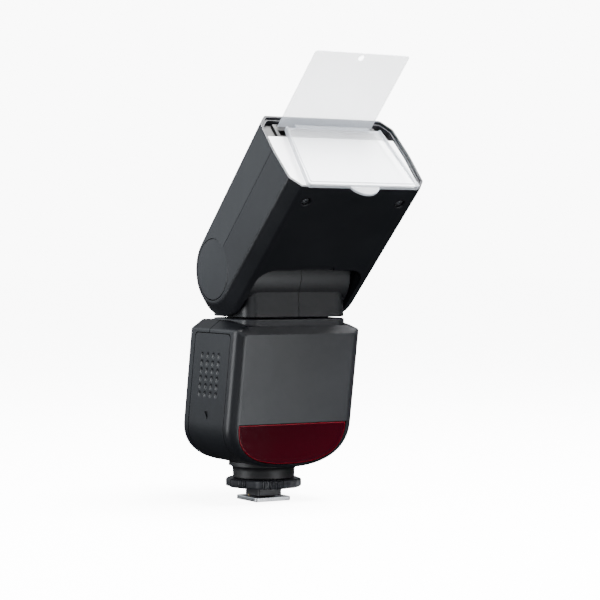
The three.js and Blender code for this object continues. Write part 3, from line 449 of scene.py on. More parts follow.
def rod(radius, low, high, axis=(0, 0, 1), at=(0, 0, 0), steps=48, rim=0.0):
    profile = [(0, low), (radius - rim, low), (radius, low + rim), (radius, high - rim),
               (radius - rim, high), (0, high)]
    return turned(profile if rim else [(0, low), (radius, low), (radius, high), (0, high)], axis, at, steps)


def loft(rings):
    """A closed skin through rings that have the same number of points."""
    bm = bmesh.new()
    loops = []
    for ring in rings:
        verts = [bm.verts.new(point) for point in ring]
        loops.append([bm.edges.new(pair) for pair in zip(verts, verts[1:] + verts[:1])])
    for one, other in zip(loops, loops[1:]):
        bmesh.ops.bridge_loops(bm, edges=one + other)
    for end in (loops[0], loops[-1]):
        bmesh.ops.edgeloop_fill(bm, edges=end)
    return tidy(bm)


def as_object(bm, name):
    mesh = bpy.data.meshes.new(name)
    bm.to_mesh(mesh)
    bm.free()
    made = bpy.data.objects.new(name, mesh)
    bpy.context.scene.collection.objects.link(made)
    return made


def combined(bm, *tools, operation="DIFFERENCE"):
    """The mesh after the Boolean modifiers of its tools, which are used up."""
    work = as_object(bm, "work")
    cutters = [as_object(tool, "tool") for tool in tools]
    for cutter in cutters:
        step = work.modifiers.new("step", "BOOLEAN")
        step.operation, step.solver, step.object = operation, "EXACT", cutter
    result = bpy.data.meshes.new_from_object(work.evaluated_get(bpy.context.evaluated_depsgraph_get()))
    made = bmesh.new()
    made.from_mesh(result)
    for used in (work, *cutters):
        bpy.data.objects.remove(used)
    bpy.data.meshes.remove(result)
    return tidy(made)


def joined(*parts):
    """Loose pieces put in one mesh, for tools and rows that don't touch each other."""
    made = bmesh.new()
    for part in parts:
        mesh = bpy.data.meshes.new("loose")
        part.to_mesh(mesh)
        part.free()
        made.from_mesh(mesh)
        bpy.data.meshes.remove(mesh)
    return made


def rounded(corners, steps=4):
    """The points of a flat outline whose corners (a, b, radius) are arcs."""
    points = []
    for index, (a, b, radius) in enumerate(corners):
        here = Vector((a, b))
        back = (Vector(corners[index - 1][:2]) - here).normalized()
        onward = (Vector(corners[(index + 1) % len(corners)][:2]) - here).normalized()
        half = acos(max(-1, min(1, back.dot(onward)))) / 2
        reach = radius / max(tan(half), 1e-6)
        middle = here + (back + onward).normalized() * (radius / sin(half)) if radius else here
        begin, finish = here + back * reach - middle, here + onward * reach - middle
        sweep = begin.angle_signed(finish) if radius and begin.length > 1e-6 else 0
        for k in range(steps + 1 if radius else 1):
            turn = Matrix.Rotation(-sweep * k / steps, 2)
            points.append(tuple(middle + turn @ begin) if radius else (a, b))
    return points


print("loft and cut helpers ready")

# %% [markdown]
# ## Finishing a piece
# Each piece is drawn in millimetres and ends in metres with its place in its mesh. Its faces are shaded
# smooth, edges sharper than a set angle stay crisp, and a Weighted Normal modifier keeps the large
# flat faces flat beside their small radii, which is what makes a moulding's edge catch a thin line of
# light. Then it rides on its body, stands for its solid, and takes its finish.

# %% One call that finishes a piece
made_pieces = []


def finished(name, bm, body, slot, *nodes, finish=None, sharp=32, extra=()):
    """Makes the piece for these nodes. Its slot names its finish, unless another finish is given."""
    bmesh.ops.transform(bm, matrix=Matrix.Scale(MM, 4), verts=bm.verts[:])
    for face in bm.faces:
        face.smooth = True
    piece = as_object(bm, name)
    piece.data.set_sharp_from_angle(angle=radians(sharp))
    for each in (finish or FINISHES[slot], *extra):
        piece.data.materials.append(each.material)
    even = piece.modifiers.new("even_normals", "WEIGHTED_NORMAL")
    even.keep_sharp = True
    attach(piece, body)
    if nodes:
        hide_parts(*nodes)
    made_pieces.append(piece)
    print(name, len(piece.data.polygons), "faces")
    return piece


def dressed(slot_finish, *names):
    """Gives solids that are already right a finish of their own."""
    for name in names:
        node = frame["nodes"][name]
        node.data.materials.clear()
        node.data.materials.append(slot_finish.material)
    print("dressed", ", ".join(names))

# %% [markdown]
# ## The leaning body
# The body is a hollow box of two mouldings, front and rear, that meet in a seam down its sides. Its
# front view is straight at the sides and runs into a squared ellipse at the bottom; its top is a low
# crown behind a slanting front edge. It could be cut from three crossing extrusions, but then its
# corners would be sharp cuts. A loft is used instead: one ring of points for each depth from front to
# rear, drawn in by as much as the corner radius asks for at that depth, so every edge turns smoothly.

# %% Sizes of the body, with its lean taken out
shell_low, shell_high = [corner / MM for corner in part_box("front_shell")]
HALF = shell_high.x
BOTTOM = shell_low.z
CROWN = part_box("rear_shell")[1].z / MM + 0.4
FRONT, REAR = -19.9, 25.5
SPRING, SHOULDER = BOTTOM + 20.3, CROWN - 4.5
CORNER, WALL, SEAM, GAP, SLIP = 5.0, 2.0, 5.2, 0.3, 0.4
TABLE_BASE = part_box("turntable")[0].z / MM
TABLE_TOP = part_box("turntable")[1].z / MM
CAVITY_TOP = TABLE_BASE - GAP - WALL
print("body half width", round(HALF, 2), "from", round(BOTTOM, 2), "to", round(CROWN, 2))


# %% The bottom curve and one ring of the body
def squared_ellipse(half, drop, level, exponent, steps):
    """The lower half of a squared ellipse, from its right end round to its left end."""
    points = []
    for k in range(steps + 1):
        across, below = cos(pi * k / steps), sin(pi * k / steps)
        reach = abs(across) ** (2 / exponent) * (1 if across > 0 else -1)
        points.append((half * reach, level - drop * abs(below) ** (2 / exponent)))
    return points


def drawn_in(radius, depth):
    """How far a corner of this radius stands back at a depth behind its end face."""
    return radius - sqrt(max(0.0, radius ** 2 - max(0.0, radius - depth) ** 2))


def body_ring(y, wall=0.0, lip=0.0, ceiling=200.0):
    depth = min(y - FRONT, REAR - y) - wall
    side = HALF - wall - lip - drawn_in(CORNER - wall, depth)
    bottom = BOTTOM + wall + lip + drawn_in(2.2 if y < SEAM else 4.5, depth)
    run = y - FRONT - wall
    slanted = min(SHOULDER - 1.9 + 1.5 * min(run, 2.6) + 0.144 * max(0, run - 2.6), CROWN)
    behind = CROWN - max(0, y - (REAR - wall - 4))
    top = min(slanted, behind, ceiling + wall) - wall - lip
    shoulder, brow = min(SHOULDER - wall - lip, top - 0.02), min(CROWN - 0.4 - wall - lip, top)
    outline = squared_ellipse(side, SPRING - bottom, SPRING, 2.35, 48)
    outline += rounded([(-side, SPRING, 0), (-side, shoulder, 1.5), (5.2 - side, brow, 3),
                        (side - 5.2, brow, 3), (side, shoulder, 1.5), (side, SPRING, 0)], 4)[1:-1]
    return [(x, y, z) for x, z in outline]


near_face = [0, 0.12, 0.35, 0.7, 1.1, 1.6, 2.0, 2.4, 3.2, 4.1, 5]
front_depths = [FRONT + d for d in near_face + [9, 14, 19, 24]]
rear_depths = [REAR - d for d in near_face + [9, 14]]


def body_loft(rings, *frames):
    return placed(loft(rings), LEAN, *frames)


front_form = body_loft([body_ring(y) for y in front_depths]
                       + [body_ring(SEAM - 0.4), body_ring(SEAM - 0.15, lip=0.22)])
rear_form = body_loft([body_ring(SEAM + 0.15, lip=0.22), body_ring(SEAM + 0.4)]
                      + [body_ring(y) for y in reversed(rear_depths)])
print("front form", len(front_form.faces), "rear form", len(rear_form.faces))

# %% [markdown]
# ## Hollowing the shells
# The inside is the same loft drawn in by the wall, and each opening is cut by the shape of the piece
# that fills it, grown by its working gap. Cutting with the fitting piece's own outline is what keeps
# the dark line round a door even.

# %% Outlines of what fills the openings
WINDOW_HALF, WINDOW_DROP, WINDOW_TOP = 28.1, 18.2, SPRING - 0.2
DOOR_FRONT, DOOR_REAR, DOOR_BOTTOM, DOOR_TOP, DOOR_TOE = -13.5, 17.5, 14.0, 76.9, -20.0
DOOR_THICK = 1.8
PORT_MIDDLE, PORT_LOW, PORT_HIGH = 2.0, 44.0, 66.0
SWIVEL = Vector((0, PIVOT.y, 0))


def window_outline(grow):
    return squared_ellipse(WINDOW_HALF + grow, WINDOW_DROP + 2 * grow, WINDOW_TOP + grow, 2.6, 48)


def window_plate(grow, low, high, rim=0.0):
    corners = [(x, z, 0) for x, z in window_outline(grow)]
    bm = plate(corners, low, high, 0, 0)
    if rim:
        bevel_edges(bm, [e for e in bm.edges if all(abs(v.co.z - low) < 1e-5 for v in e.verts)], rim, 4)
    return placed(tidy(bm), ALONG_Y)


def door_corners(grow, drop):
    return [(DOOR_FRONT - grow, DOOR_BOTTOM - drop, 0), (DOOR_REAR + grow, DOOR_BOTTOM - drop, 0),
            (DOOR_REAR + grow, DOOR_TOP + grow, 2.2), (DOOR_FRONT - grow, DOOR_TOP + grow, 2.2)]


def port_corners(grow):
    low, high = PORT_LOW - grow, PORT_HIGH + grow
    near, far = PORT_MIDDLE - 5.5 - grow, PORT_MIDDLE + 5.5 + grow
    return [(near, low, 2), (far, low, 2), (far, high, 2), (near, high, 2)]


def table_corners(grow):
    half, depth = 26.8 + grow, 17 + grow
    return [(x, PIVOT.y + y, 6) for x, y in ((-half, -depth), (half, -depth), (half, depth), (-half, depth))]


def pill(x, up, width, height, radius):
    return [(x + a * width / 2, up + b * height / 2, radius)
            for a, b in ((-1, -1), (1, -1), (1, 1), (-1, 1))]


SCREEN_UP, BUTTON_UP, BUTTONS_X, SWITCH_X = 14.0, -2.5, (-13, 0, 13), 20.5
SHAFT_RADIUS, STEM_RADIUS = 13.5, 9.2
DIAL_RADIUS, SET_RADIUS, TEST_RADIUS = 9.5, 4.6, 2.6
print("door", DOOR_REAR - DOOR_FRONT, "by", DOOR_TOP - DOOR_BOTTOM)


def body_rings(inset):
    """The whole body's rings a step further in."""
    near = [d for d in near_face if d < 4.5]
    stations = [FRONT + inset + d for d in near + [9, 14, 24]]
    stations += [REAR - inset - d for d in reversed(near + [9])]
    return [body_ring(y, wall=inset) for y in stations]


# %% Cut the two shells
def shell_tools():
    """New copies of every tool that opens the shells."""
    cavity = body_loft([body_ring(y, wall=WALL, ceiling=CAVITY_TOP)
                        for y in [FRONT + WALL + d for d in (0, 0.3, 1, 2, 3)] + [0, 10]
                        + [REAR - WALL - d for d in (3, 2, 1, 0.3, 0)]])
    door = combined(placed(plate(door_corners(SLIP, SLIP + 3), -60, DOOR_TOE + SLIP), ALONG_X),
                    loft(body_rings(WALL + SLIP)))
    door = placed(door, LEAN)
    port = placed(plate(port_corners(SLIP), HALF - 1.6 - SLIP, 60), ALONG_X, LEAN)
    window = placed(window_plate(GAP, FRONT - 6, FRONT + WALL + 2 * GAP), LEAN)
    seat = plate(table_corners(GAP), TABLE_BASE - GAP, 120)
    shaft = rod(SHAFT_RADIUS + SLIP, CAVITY_TOP - 1, TABLE_TOP + 1, at=SWIVEL)
    stem = rod(STEM_RADIUS + GAP, 0, SPRING)
    return cavity, door, port, window, seat, shaft, stem


def panel_tools():
    screen = plate(box_corners(18 + GAP, SCREEN_UP - 10 - GAP, SCREEN_UP + 10 + GAP, 1.5), -WALL - 1, 30)
    dial = rod(DIAL_RADIUS + SLIP, -1.2, 30, at=(0, DIAL_UP, 0))
    middle = rod(SET_RADIUS + SLIP, -WALL - 1, 30, at=(0, DIAL_UP, 0))
    test = rod(TEST_RADIUS + SLIP, -WALL - 1, 30, at=(-SWITCH_X, DIAL_UP, 0))
    switch = plate(pill(SWITCH_X, DIAL_UP, 4.8, 8.8, 1), -WALL - 1, 30)
    buttons = [plate(pill(x, BUTTON_UP, 9.8, 4.8, 2), -WALL - 1, 30) for x in BUTTONS_X]
    return [placed(tool, PANEL) for tool in (screen, dial, middle, test, switch, *buttons)]


cavity, door_hole, port_hole, window_hole, seat, shaft_hole, stem_hole = shell_tools()
front_shell = combined(front_form, cavity, window_hole, door_hole, port_hole, seat, shaft_hole, stem_hole)
cavity, door_hole, port_hole, window_hole, seat, shaft_hole, stem_hole = shell_tools()
rear_shell = combined(rear_form, cavity, door_hole, port_hole, seat, shaft_hole, stem_hole)
window_hole.free()

# %% [markdown]
# ## The rear panel
# Controls on such a flash sit in a shallow dished panel, so that a thumb finds them and the screen is
# not scratched when the flash lies on its back. The dish is 0.5 mm deep with a rounded outline. A
# fine groove runs round the row of buttons.

# %% Dish the rear panel and add its details
dish = plate([(-27, -27, 7), (27, -27, 7), (27, 27.2, 4), (-27, 27.2, 4)], -0.5, 12, 0, 0)
groove = combined(plate(box_corners(24.6, -5.9, 0.9, 3.2), -0.85, 4),
                  plate(box_corners(24.1, -5.4, 0.4, 2.7), -2, 5))
rear_shell = combined(rear_shell, placed(dish, PANEL), placed(groove, PANEL), *panel_tools())
finished("rear_shell_moulding", rear_shell, "body", "shell_plastic", "rear_shell")
finished("front_shell_moulding", front_shell, "body", "shell_plastic", "front_shell")

# %% [markdown]
# ## The red signal window
# A dark red plate fills the bottom of the front. It hides the lamp that throws a pattern for the camera
# to focus on. Its flat face looks almost black. The red that light shows through its rounded rim is
# painted: faces whose normal turns away from the front get a brighter red finish, a painted glow.

# %% The window and its lamp
window = combined(window_plate(0, FRONT + 0.15, FRONT + WALL + GAP, rim=0.45),
                  window_plate(1.0, FRONT + WALL + GAP, FRONT + WALL + GAP + 1), operation="UNION")
# Rim faces take the brighter red finish: painted glow of the light through the edge.
for face in window.faces:
    if face.normal.y > -0.985:
        face.material_index = 1
finished("signal_window_plate", placed(window, LEAN), "body", "red_window", "signal_window",
         extra=(red_rim_painted_glow,))

lamp = placed(plate(pill(0, 34.4, 6.8, 2.0, 0.9), FRONT + 3.6, FRONT + 6.6, 0.35, 0.1), ALONG_Y, LEAN)
finished("signal_lamp_lens", lamp, "body", "red_lamp", "signal_lamp", finish=lamp_glow)

# %% [markdown]
# ## The battery door
# The door is a plate that follows the body's side and the start of its front corner, so it is the
# common part of a thick plate and the body's own loft. Two dozen shallow dimples give the thumb a grip
# where it pushes, in rows that lean with the body. They are real hollows cut by small balls. A small
# wedge below them shows which way to push.

# %% The door, its grip and its wedge
whole_body = [body_ring(y) for y in front_depths + list(reversed(rear_depths))]
door = combined(placed(plate(door_corners(0, 0), -60, DOOR_TOE), ALONG_X),
                loft(whole_body), operation="INTERSECT")
rims = [e for e in door.edges if len(e.link_faces) == 2 and e.calc_face_angle(0) > radians(50)
        and all(v.co.x < 2 - HALF or (v.co.z < 30 and v.co.x < DOOR_TOE - 0.3) for v in e.verts)]
bevel_edges(door, rims, 0.22, 2)
door = combined(door, loft(body_rings(DOOR_THICK)))

BALL = 2.6
COLUMNS, ROWS, COLUMN_STEP, ROW_STEP, TOP_ROW = 4, 6, 4.9, 3.5, 66.95


def grip_ball(y, z, depth):
    ball = bmesh.new()
    bmesh.ops.create_icosphere(ball, subdivisions=3, radius=BALL)
    return placed(ball, Matrix.Translation((-HALF - BALL + depth, y, z)))


dimples = joined(*[grip_ball(COLUMN_STEP * column - COLUMN_STEP, TOP_ROW - ROW_STEP * row, 0.5)
                   for column in range(COLUMNS) for row in range(ROWS)])
wedge = placed(plate([(-1.3, 41.8, 0.2), (1.3, 38.0, 0.2), (3.9, 41.8, 0.2)], -60, 0.7 - HALF), ALONG_X)
door = combined(door, dimples, wedge)
finished("battery_door_moulding", placed(door, LEAN), "battery_door", "shell_plastic",
         "battery_door")

port = combined(placed(plate(port_corners(0), HALF - 1.6, 60), ALONG_X), loft(whole_body),
                operation="INTERSECT")
nail = placed(rod(3.2, 0, 4), Matrix.Rotation(radians(90), 4, "Y"),
              Matrix.Translation((HALF - 0.6, PORT_MIDDLE + 6.2, 55)))
port = combined(port, nail)
finished("port_cover_rubber", placed(port, LEAN), "port_cover", "dark_plastic", "port_cover")

# %% [markdown]
# ## The shoe foot
# The foot is a plated steel plate with broken edges. Above it a block keeps it centred between the
# shoe's lips. Spring pins pass through both: the large one in the middle fires the flash and the small
# ones talk to the camera. Their rounded tips stand out a little below the plate, as they do when the
# flash isn't on a camera.

# %% Foot plate, block and pins
plate_low, plate_high = [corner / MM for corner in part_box("shoe_foot")]
PINS = [(0, 0, 1.4)] + [(x, 4.6, 0.8) for x in (-4.6, -1.6, 1.6, 4.6)] + [(4.0, -4.6, 1.0)]
foot = plate(box_corners(plate_high.x, plate_low.y, plate_high.y, 1.2), 0, plate_high.z, 0.35, 0.35)
recess = plate(box_corners(7.0, -6.6, 6.6, 1.2), -1, 0.35)
foot = combined(foot, recess, *[rod(r + GAP, -2, 9, at=(x, y, 0), steps=32) for x, y, r in PINS])
finished("shoe_foot_plate", foot, "body", "foot_metal", "shoe_foot")

block_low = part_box("shoe_stem")[0] / MM
RING_BASE, RING_TOP = [corner.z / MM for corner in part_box("lock_ring")]
stem = combined(plate(box_corners(6.2, -6.2, 6.2, 1.0), block_low.z, RING_BASE + 1.3, 0.25, 0.1),
                rod(STEM_RADIUS, RING_BASE + GAP, BOTTOM + 1.2), operation="UNION")
stem = combined(stem, *[rod(r + GAP, -2, 6.5, at=(x, y, 0), steps=24) for x, y, r in PINS])
finished("shoe_block_and_stem", stem, "body", "dark_plastic", "shoe_stem")


def pin(radius, tip, top, x, y):
    profile = [(0, -tip), (radius * 0.5, -tip * 0.86), (radius * 0.86, -tip * 0.4), (radius, 0.35),
               (radius, top), (0, top)]
    return turned(profile, at=(x, y, 0), steps=32)


PIN_TOP = RING_BASE - 0.8
finished("contact_centre_pin", pin(1.4, 1.0, PIN_TOP, 0, 0), "contact_centre", "contact_gold",
         "contact_centre")
for number, (x, y, radius) in enumerate(PINS[1:5], start=1):
    finished(f"contact_pin_{number}", pin(radius, 0.6, PIN_TOP, x, y), f"contact_{number}", "contact_gold",
             f"contact_{number}")
finished("lock_pin_rod", pin(1.0, -0.1, PIN_TOP, 4.0, -4.6), "lock_pin", "steel", "lock_pin")

# %% [markdown]
# ## The lock ring
# Six grips of upright ribs alternate with six smooth hollows on the ring's edge. The outline is worked
# out once from the angle: a hollow where a cosine dips, and a rib wherever a faster cosine rises. The
# same outline, drawn in a little, gives the chamfers at the top and bottom, and a loft joins them.

# %% Ribbed ring, clamp plate and neck
RING_RADIUS, LOBES, RIBS_IN_A_LOBE, PHASE = 17.3, 6, 9, 14


def ring_line(level, inset):
    """The ring's edge at a level, drawn in by an inset; ribs fade where it is drawn in most."""
    points = []
    for k in range(LOBES * 72):
        turn = 360 * k / (LOBES * 72)
        in_lobe = ((turn + 30) % 60) - 30
        hollow = 0.5 * (1 - cos(radians(min(1, max(0, abs(in_lobe) - 17.5) / 12.5) * 180)))
        rib = 0.5 + 0.5 * cos(radians(in_lobe / 34 * RIBS_IN_A_LOBE * 360)) if abs(in_lobe) < 17 else 1
        radius = RING_RADIUS - hollow * 0.85 - (1 - rib) * 0.5 - inset
        points.append((radius * cos(radians(turn + PHASE)), radius * sin(radians(turn + PHASE)), level))
    return points


ring = loft([ring_line(RING_BASE, 0.75), ring_line(RING_BASE + 0.35, 0.2), ring_line(RING_BASE + 0.6, 0.0),
             ring_line(RING_TOP - 0.75, 0.0), ring_line(RING_TOP - 0.45, 0.15), ring_line(RING_TOP, 0.8)])
ring = combined(ring, rod(STEM_RADIUS + GAP, 0, 30), rod(13.4, 0, RING_BASE + 1.9))
finished("lock_ring_grip", ring, "lock_ring", "trim_plastic", "lock_ring", sharp=40)

clamp_low, clamp_high = [corner.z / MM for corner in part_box("clamp_plate")]
clamp = combined(rod(13, clamp_low, clamp_high, rim=0.3), rod(STEM_RADIUS + SLIP, 0, 30))
finished("clamp_plate_disc", clamp, "clamp_plate", "foot_metal", "clamp_plate")

neck_low, neck_high = [corner.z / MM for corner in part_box("shoe_neck")]
NECK = 14.1
neck_line = [(STEM_RADIUS + GAP, neck_low), (NECK - 0.3, neck_low), (NECK, neck_low + 0.3),
             (NECK + 0.1, neck_high - 2.4)]
neck_line += [(NECK + 0.1 + 1.8 * (1 - cos(radians(a))), neck_high - 2.4 + 2.2 * sin(radians(a)))
              for a in (15, 30, 45, 60, 75, 90)]
neck_line += [(NECK + 1.9, neck_high + 1.6), (STEM_RADIUS + GAP, neck_high + 1.6),
              (STEM_RADIUS + GAP, neck_low)]
# The neck is part of the shell moulding; its darker, rougher inner plastic paints the shade under the body.
finished("shoe_neck_collar", turned(neck_line, steps=96), "body", "shell_plastic", "shoe_neck",
         finish=inner_plastic_and_painted_shade)

# %% [markdown]
# ## Turntable and knuckle
# The head swivels on a flange over a low plate on the crown and tilts about a barrel between its
# cheeks. The barrel, its skirt and its flange are one moulding in two halves, so they are joined first
# and split down the middle afterwards, which leaves the fine seam that the real halves have.

# %% Turntable
table = plate(table_corners(0), TABLE_BASE, TABLE_TOP, 0, 0.9, rim_steps=4)
finished("turntable_plate", combined(table, rod(SHAFT_RADIUS + SLIP, 60, 100, at=SWIVEL)), "body",
         "shell_plastic", "turntable")

# %% Knuckle: barrel, skirt and flange in two halves
BARREL, FLANGE_BASE = 19.2, TABLE_TOP + 0.6
BARREL_END = (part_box("knuckle_right")[1] / MM).x


def skirt_ring(level, half, depth, corner):
    outline = rounded([(-half, -depth, corner), (half, -depth, corner), (half, depth, corner),
                       (-half, depth, corner)], 6)
    return [(x, PIVOT.y + y, level) for x, y in outline]


def knuckle_tools():
    room = rod(BARREL - 2.4, 2.4 - BARREL_END, BARREL_END - 2.4, axis=(1, 0, 0), at=PIVOT)
    wires = rod(10, FLANGE_BASE - 1, PIVOT.z, at=SWIVEL)
    axle = rod(5.2, -60, 60, axis=(1, 0, 0), at=PIVOT)
    return room, wires, axle


barrel = rod(BARREL, -BARREL_END, BARREL_END, axis=(1, 0, 0), at=PIVOT, steps=96)
bevel_edges(barrel, [e for e in barrel.edges if all(abs(abs(v.co.x) - BARREL_END) < 1e-4 for v in e.verts)
                     and all((Vector(v.co) - PIVOT).length > BARREL for v in e.verts)], 1.5, 4)
skirt = loft([skirt_ring(FLANGE_BASE, BARREL_END - 0.3, 16.7, 5.7),
              skirt_ring(FLANGE_BASE + 0.3, BARREL_END, 17, 6),
              skirt_ring(FLANGE_BASE + 2, BARREL_END, 17, 6),
              skirt_ring(FLANGE_BASE + 3.2, BARREL_END - 0.1, 16.9, 6),
              skirt_ring(PIVOT.z - 9, BARREL_END - 0.1, 16.4, 5.6),
              skirt_ring(PIVOT.z - 6, BARREL_END - 0.1, 16.0, 5.4)])
knuckle = combined(barrel, skirt, operation="UNION")
knuckle = combined(knuckle, *knuckle_tools())
for side, name in ((-1, "knuckle_left"), (1, "knuckle_right")):
    keep = block(sorted((side * 0.12, side * 60)), (-80, 80), (60, 140))
    part_half = combined(knuckle.copy(), keep, operation="INTERSECT")
    finished(name + "_moulding", part_half, "knuckle", "dark_plastic", name)
knuckle.free()

# %% [markdown]
# ## The lamp head
# Seen from the side the head is a long box whose rear end is half a drum about the tilt axle. Seen from
# the lens its long edges have wide chamfers and its sides bulge a little. A box with cut edges can't
# carry the chamfer round the drum, so the head is lofted across its width: each ring is the side view,
# drawn in by as much as the chamfer takes away at that place. The chamfer then runs round the drum too.

# %% The side view, and the same drawn in
HEAD_LONG, TOP, UNDER, DRUM = 72.3, 22.0, 22.3, 20.9


def across_profile(inset=0.0):
    """Places across the head, each with how far the side view is drawn in there."""
    corners = [(0, inset, 0), (30 - 0.473 * inset, inset, 2.2),
               (34.6 - 0.981 * inset, 5.6 + 0.382 * inset, 2.6), (35.3 - inset, 20.2, 0)]
    return rounded([*corners, (0, 20.2, 0)], 5)[1:-1]


def head_ring(x, drawn, far=HEAD_LONG, near=None):
    top, under, drum = TOP - drawn, UNDER - drawn, DRUM - drawn
    if near is None:
        back = [(-drum * sin(radians(a)), -drum * cos(radians(a))) for a in range(0, 181, 9)]
    else:
        along = near / HEAD_LONG
        back = [(near, -drum - (top - drum) * along), (near, drum + (under - drum) * along)]
    return [(x, u, v) for u, v in [(far, -top), *back, (far, under)]]


def head_loft(inset=0.0, far=HEAD_LONG, near=None):
    side = across_profile(inset)
    stations = [(-x, drawn) for x, drawn in reversed(side)] + side
    return loft([head_ring(x, drawn, far, near) for x, drawn in stations])


def half_width(v, inset):
    drawn = (UNDER if v > 0 else TOP) - abs(v)
    side = across_profile(inset)
    for (x0, d0), (x1, d1) in zip(side, side[1:]):
        if d0 <= drawn <= d1:
            return x0 + (x1 - x0) * (drawn - d0) / max(d1 - d0, 1e-6)
    return side[-1][0] if drawn > side[-1][1] else side[0][0]


whole_head = head_loft()
lip = [e for e in whole_head.edges if all(abs(v.co.y - HEAD_LONG) < 1e-4 for v in e.verts)
       and e.calc_face_angle(0) > radians(40)]
bevel_edges(whole_head, lip, 0.35, 3)
print("head loft", len(whole_head.faces), "faces, lip edges", len(lip))

# %% [markdown]
# ## Hollowing the head
# The rim is thin and stepped: the wall is two millimetres thick and gets thinner at the mouth, where the
# lens sits back in a step. Behind the lens chamber a bay is open to the rear and to the underside, so
# that the head can swing on the knuckle. Two round caps hide the ends of the tilt axle. The shell is cut
# whole and split along its middle afterwards, so both halves share every cut.

# %% Cut the head and split it
BAY, ROOM = 27.4, 19.8
CAP, CAP_FACE = 13.6, 33.3


def head_tools():
    chamber = head_loft(WALL, far=HEAD_LONG + 4, near=23.6)
    mouth = head_loft(1.1, far=HEAD_LONG + 4, near=71.1)
    room = rod(ROOM, -BAY, BAY, axis=(1, 0, 0), steps=96)
    window = plate([(-BAY, -60, 0), (BAY, -60, 0), (BAY, 21.2, 8), (-BAY, 21.2, 8)], 8.8, 60, steps=8)
    wedge = placed(plate([(0, 0), (-20, -36), (-60, -36), (-60, 60), (0, 60)], -BAY, BAY), ALONG_X)
    bore = rod(5.1, -60, 60, axis=(1, 0, 0))
    pockets = [rod(CAP + 0.25, *sorted((side * (CAP_FACE - GAP), side * 60)), axis=(1, 0, 0), steps=80)
               for side in (-1, 1)]
    crescent = combined(rod(27.4, 20.7, 30, at=(0, -2.7, 0), steps=96),
                        block((-9.6, 9.6), (0, 40), (10, 40)), operation="INTERSECT")
    return [chamber, mouth, room, window, wedge, bore, *pockets, crescent]


SCREW_X, SCREW_U = 24.0, 63.2
screw_wells = [turned([(0, 10), (2.1, 10), (2.1, 21.75), (2.6, 22.25), (2.6, 30), (0, 30)],
                      at=(side * SCREW_X, SCREW_U, 0), steps=48) for side in (-1, 1)]
whole_head = combined(whole_head, *head_tools())
upper = combined(whole_head.copy(), block((-60, 60), (-60, 90), (-60, -0.12)), operation="INTERSECT")
under = combined(whole_head, block((-60, 60), (-60, 90), (0.12, 60)), operation="INTERSECT")
under = combined(under, *screw_wells)
finished("head_shell_upper", placed(upper, HEAD), "head", "shell_plastic", "head_shell_top")
finished("head_shell_lower", placed(under, HEAD), "head", "shell_plastic", "head_shell_under")

# %% [markdown]
# ## Caps and screws
# The caps are low, slightly domed discs with a rounded rim, glued over the ends of the tilt axle.
# The two screws that hold the head's lower half sit deep in their wells and have a cross recess.

# %% Pivot caps and head screws
for side, name in ((-1, "pivot_cap_left"), (1, "pivot_cap_right")):
    outline = [(0, CAP_FACE), (CAP, CAP_FACE), (CAP, CAP_FACE + 1.15), (CAP - 0.12, CAP_FACE + 1.38),
               (CAP - 0.4, CAP_FACE + 1.5), (0, CAP_FACE + 1.7)]
    cap = turned(outline, axis=(side, 0, 0), steps=96)
    finished(name + "_disc", placed(cap, HEAD), "head", "shell_plastic", name)

for number, side in ((1, -1), (2, 1)):
    at = (side * SCREW_X, SCREW_U, 0)
    screw = turned([(0, 17.4), (1.2, 17.4), (1.2, 19.4), (1.8, 20.2), (1.8, 20.9), (1.55, 21.25),
                    (0, 21.4)], at=at, steps=40)
    cross = [placed(block((-wide, wide), (-long, long), (20.6, 24)), Matrix.Translation(at))
             for wide, long in ((0.28, 1.1), (1.1, 0.28))]
    finished(f"head_screw_{number}_pan", placed(combined(screw, *cross), HEAD), "head", "steel",
             f"head_screw_{number}")

# %% [markdown]
# ## Fresnel lens
# The lens is a plate whose face is a stack of fine parallel prisms; they spread the light up and down
# and show as close horizontal lines. The lens finish paints grey bands of shade at the prism steps as
# well. It is lofted downwards, one ring for each prism edge, so the width follows the chamfered opening
# all the way.

# %% The lens and its frame
LENS_TOP, LENS_FACE, PRISM = -10.4, 70.7, 0.8
lens_rings = []
for k in range(int((19.7 - LENS_TOP) / PRISM) + 1):
    for step, stand_back in ((0.0, 0.0), (PRISM * 0.86, 0.26)):
        v = LENS_TOP + k * PRISM + step
        half = half_width(v, 2.4)
        face = LENS_FACE - stand_back
        rear = LENS_FACE - 2
        lens_rings.append([(-half, rear, v), (half, rear, v), (half, face, v), (-half, face, v)])
finished("fresnel_lens_prisms", placed(loft(lens_rings), HEAD), "head", "lens_plastic",
         "fresnel_lens", sharp=10)

# %% [markdown]
# ## Card tray, bounce card and wide panel
# Two thin things live in a tray above the lens: a milky card that is pulled up to bounce light, and a
# clear panel that folds down over the lens on a hinge bar. The panel has raised lips on three sides so
# that it stays stiff, and a half moon below for the fingertip. The shine of its polished lips is painted
# as well: their faces take a greyer, less clear copy of the acrylic.

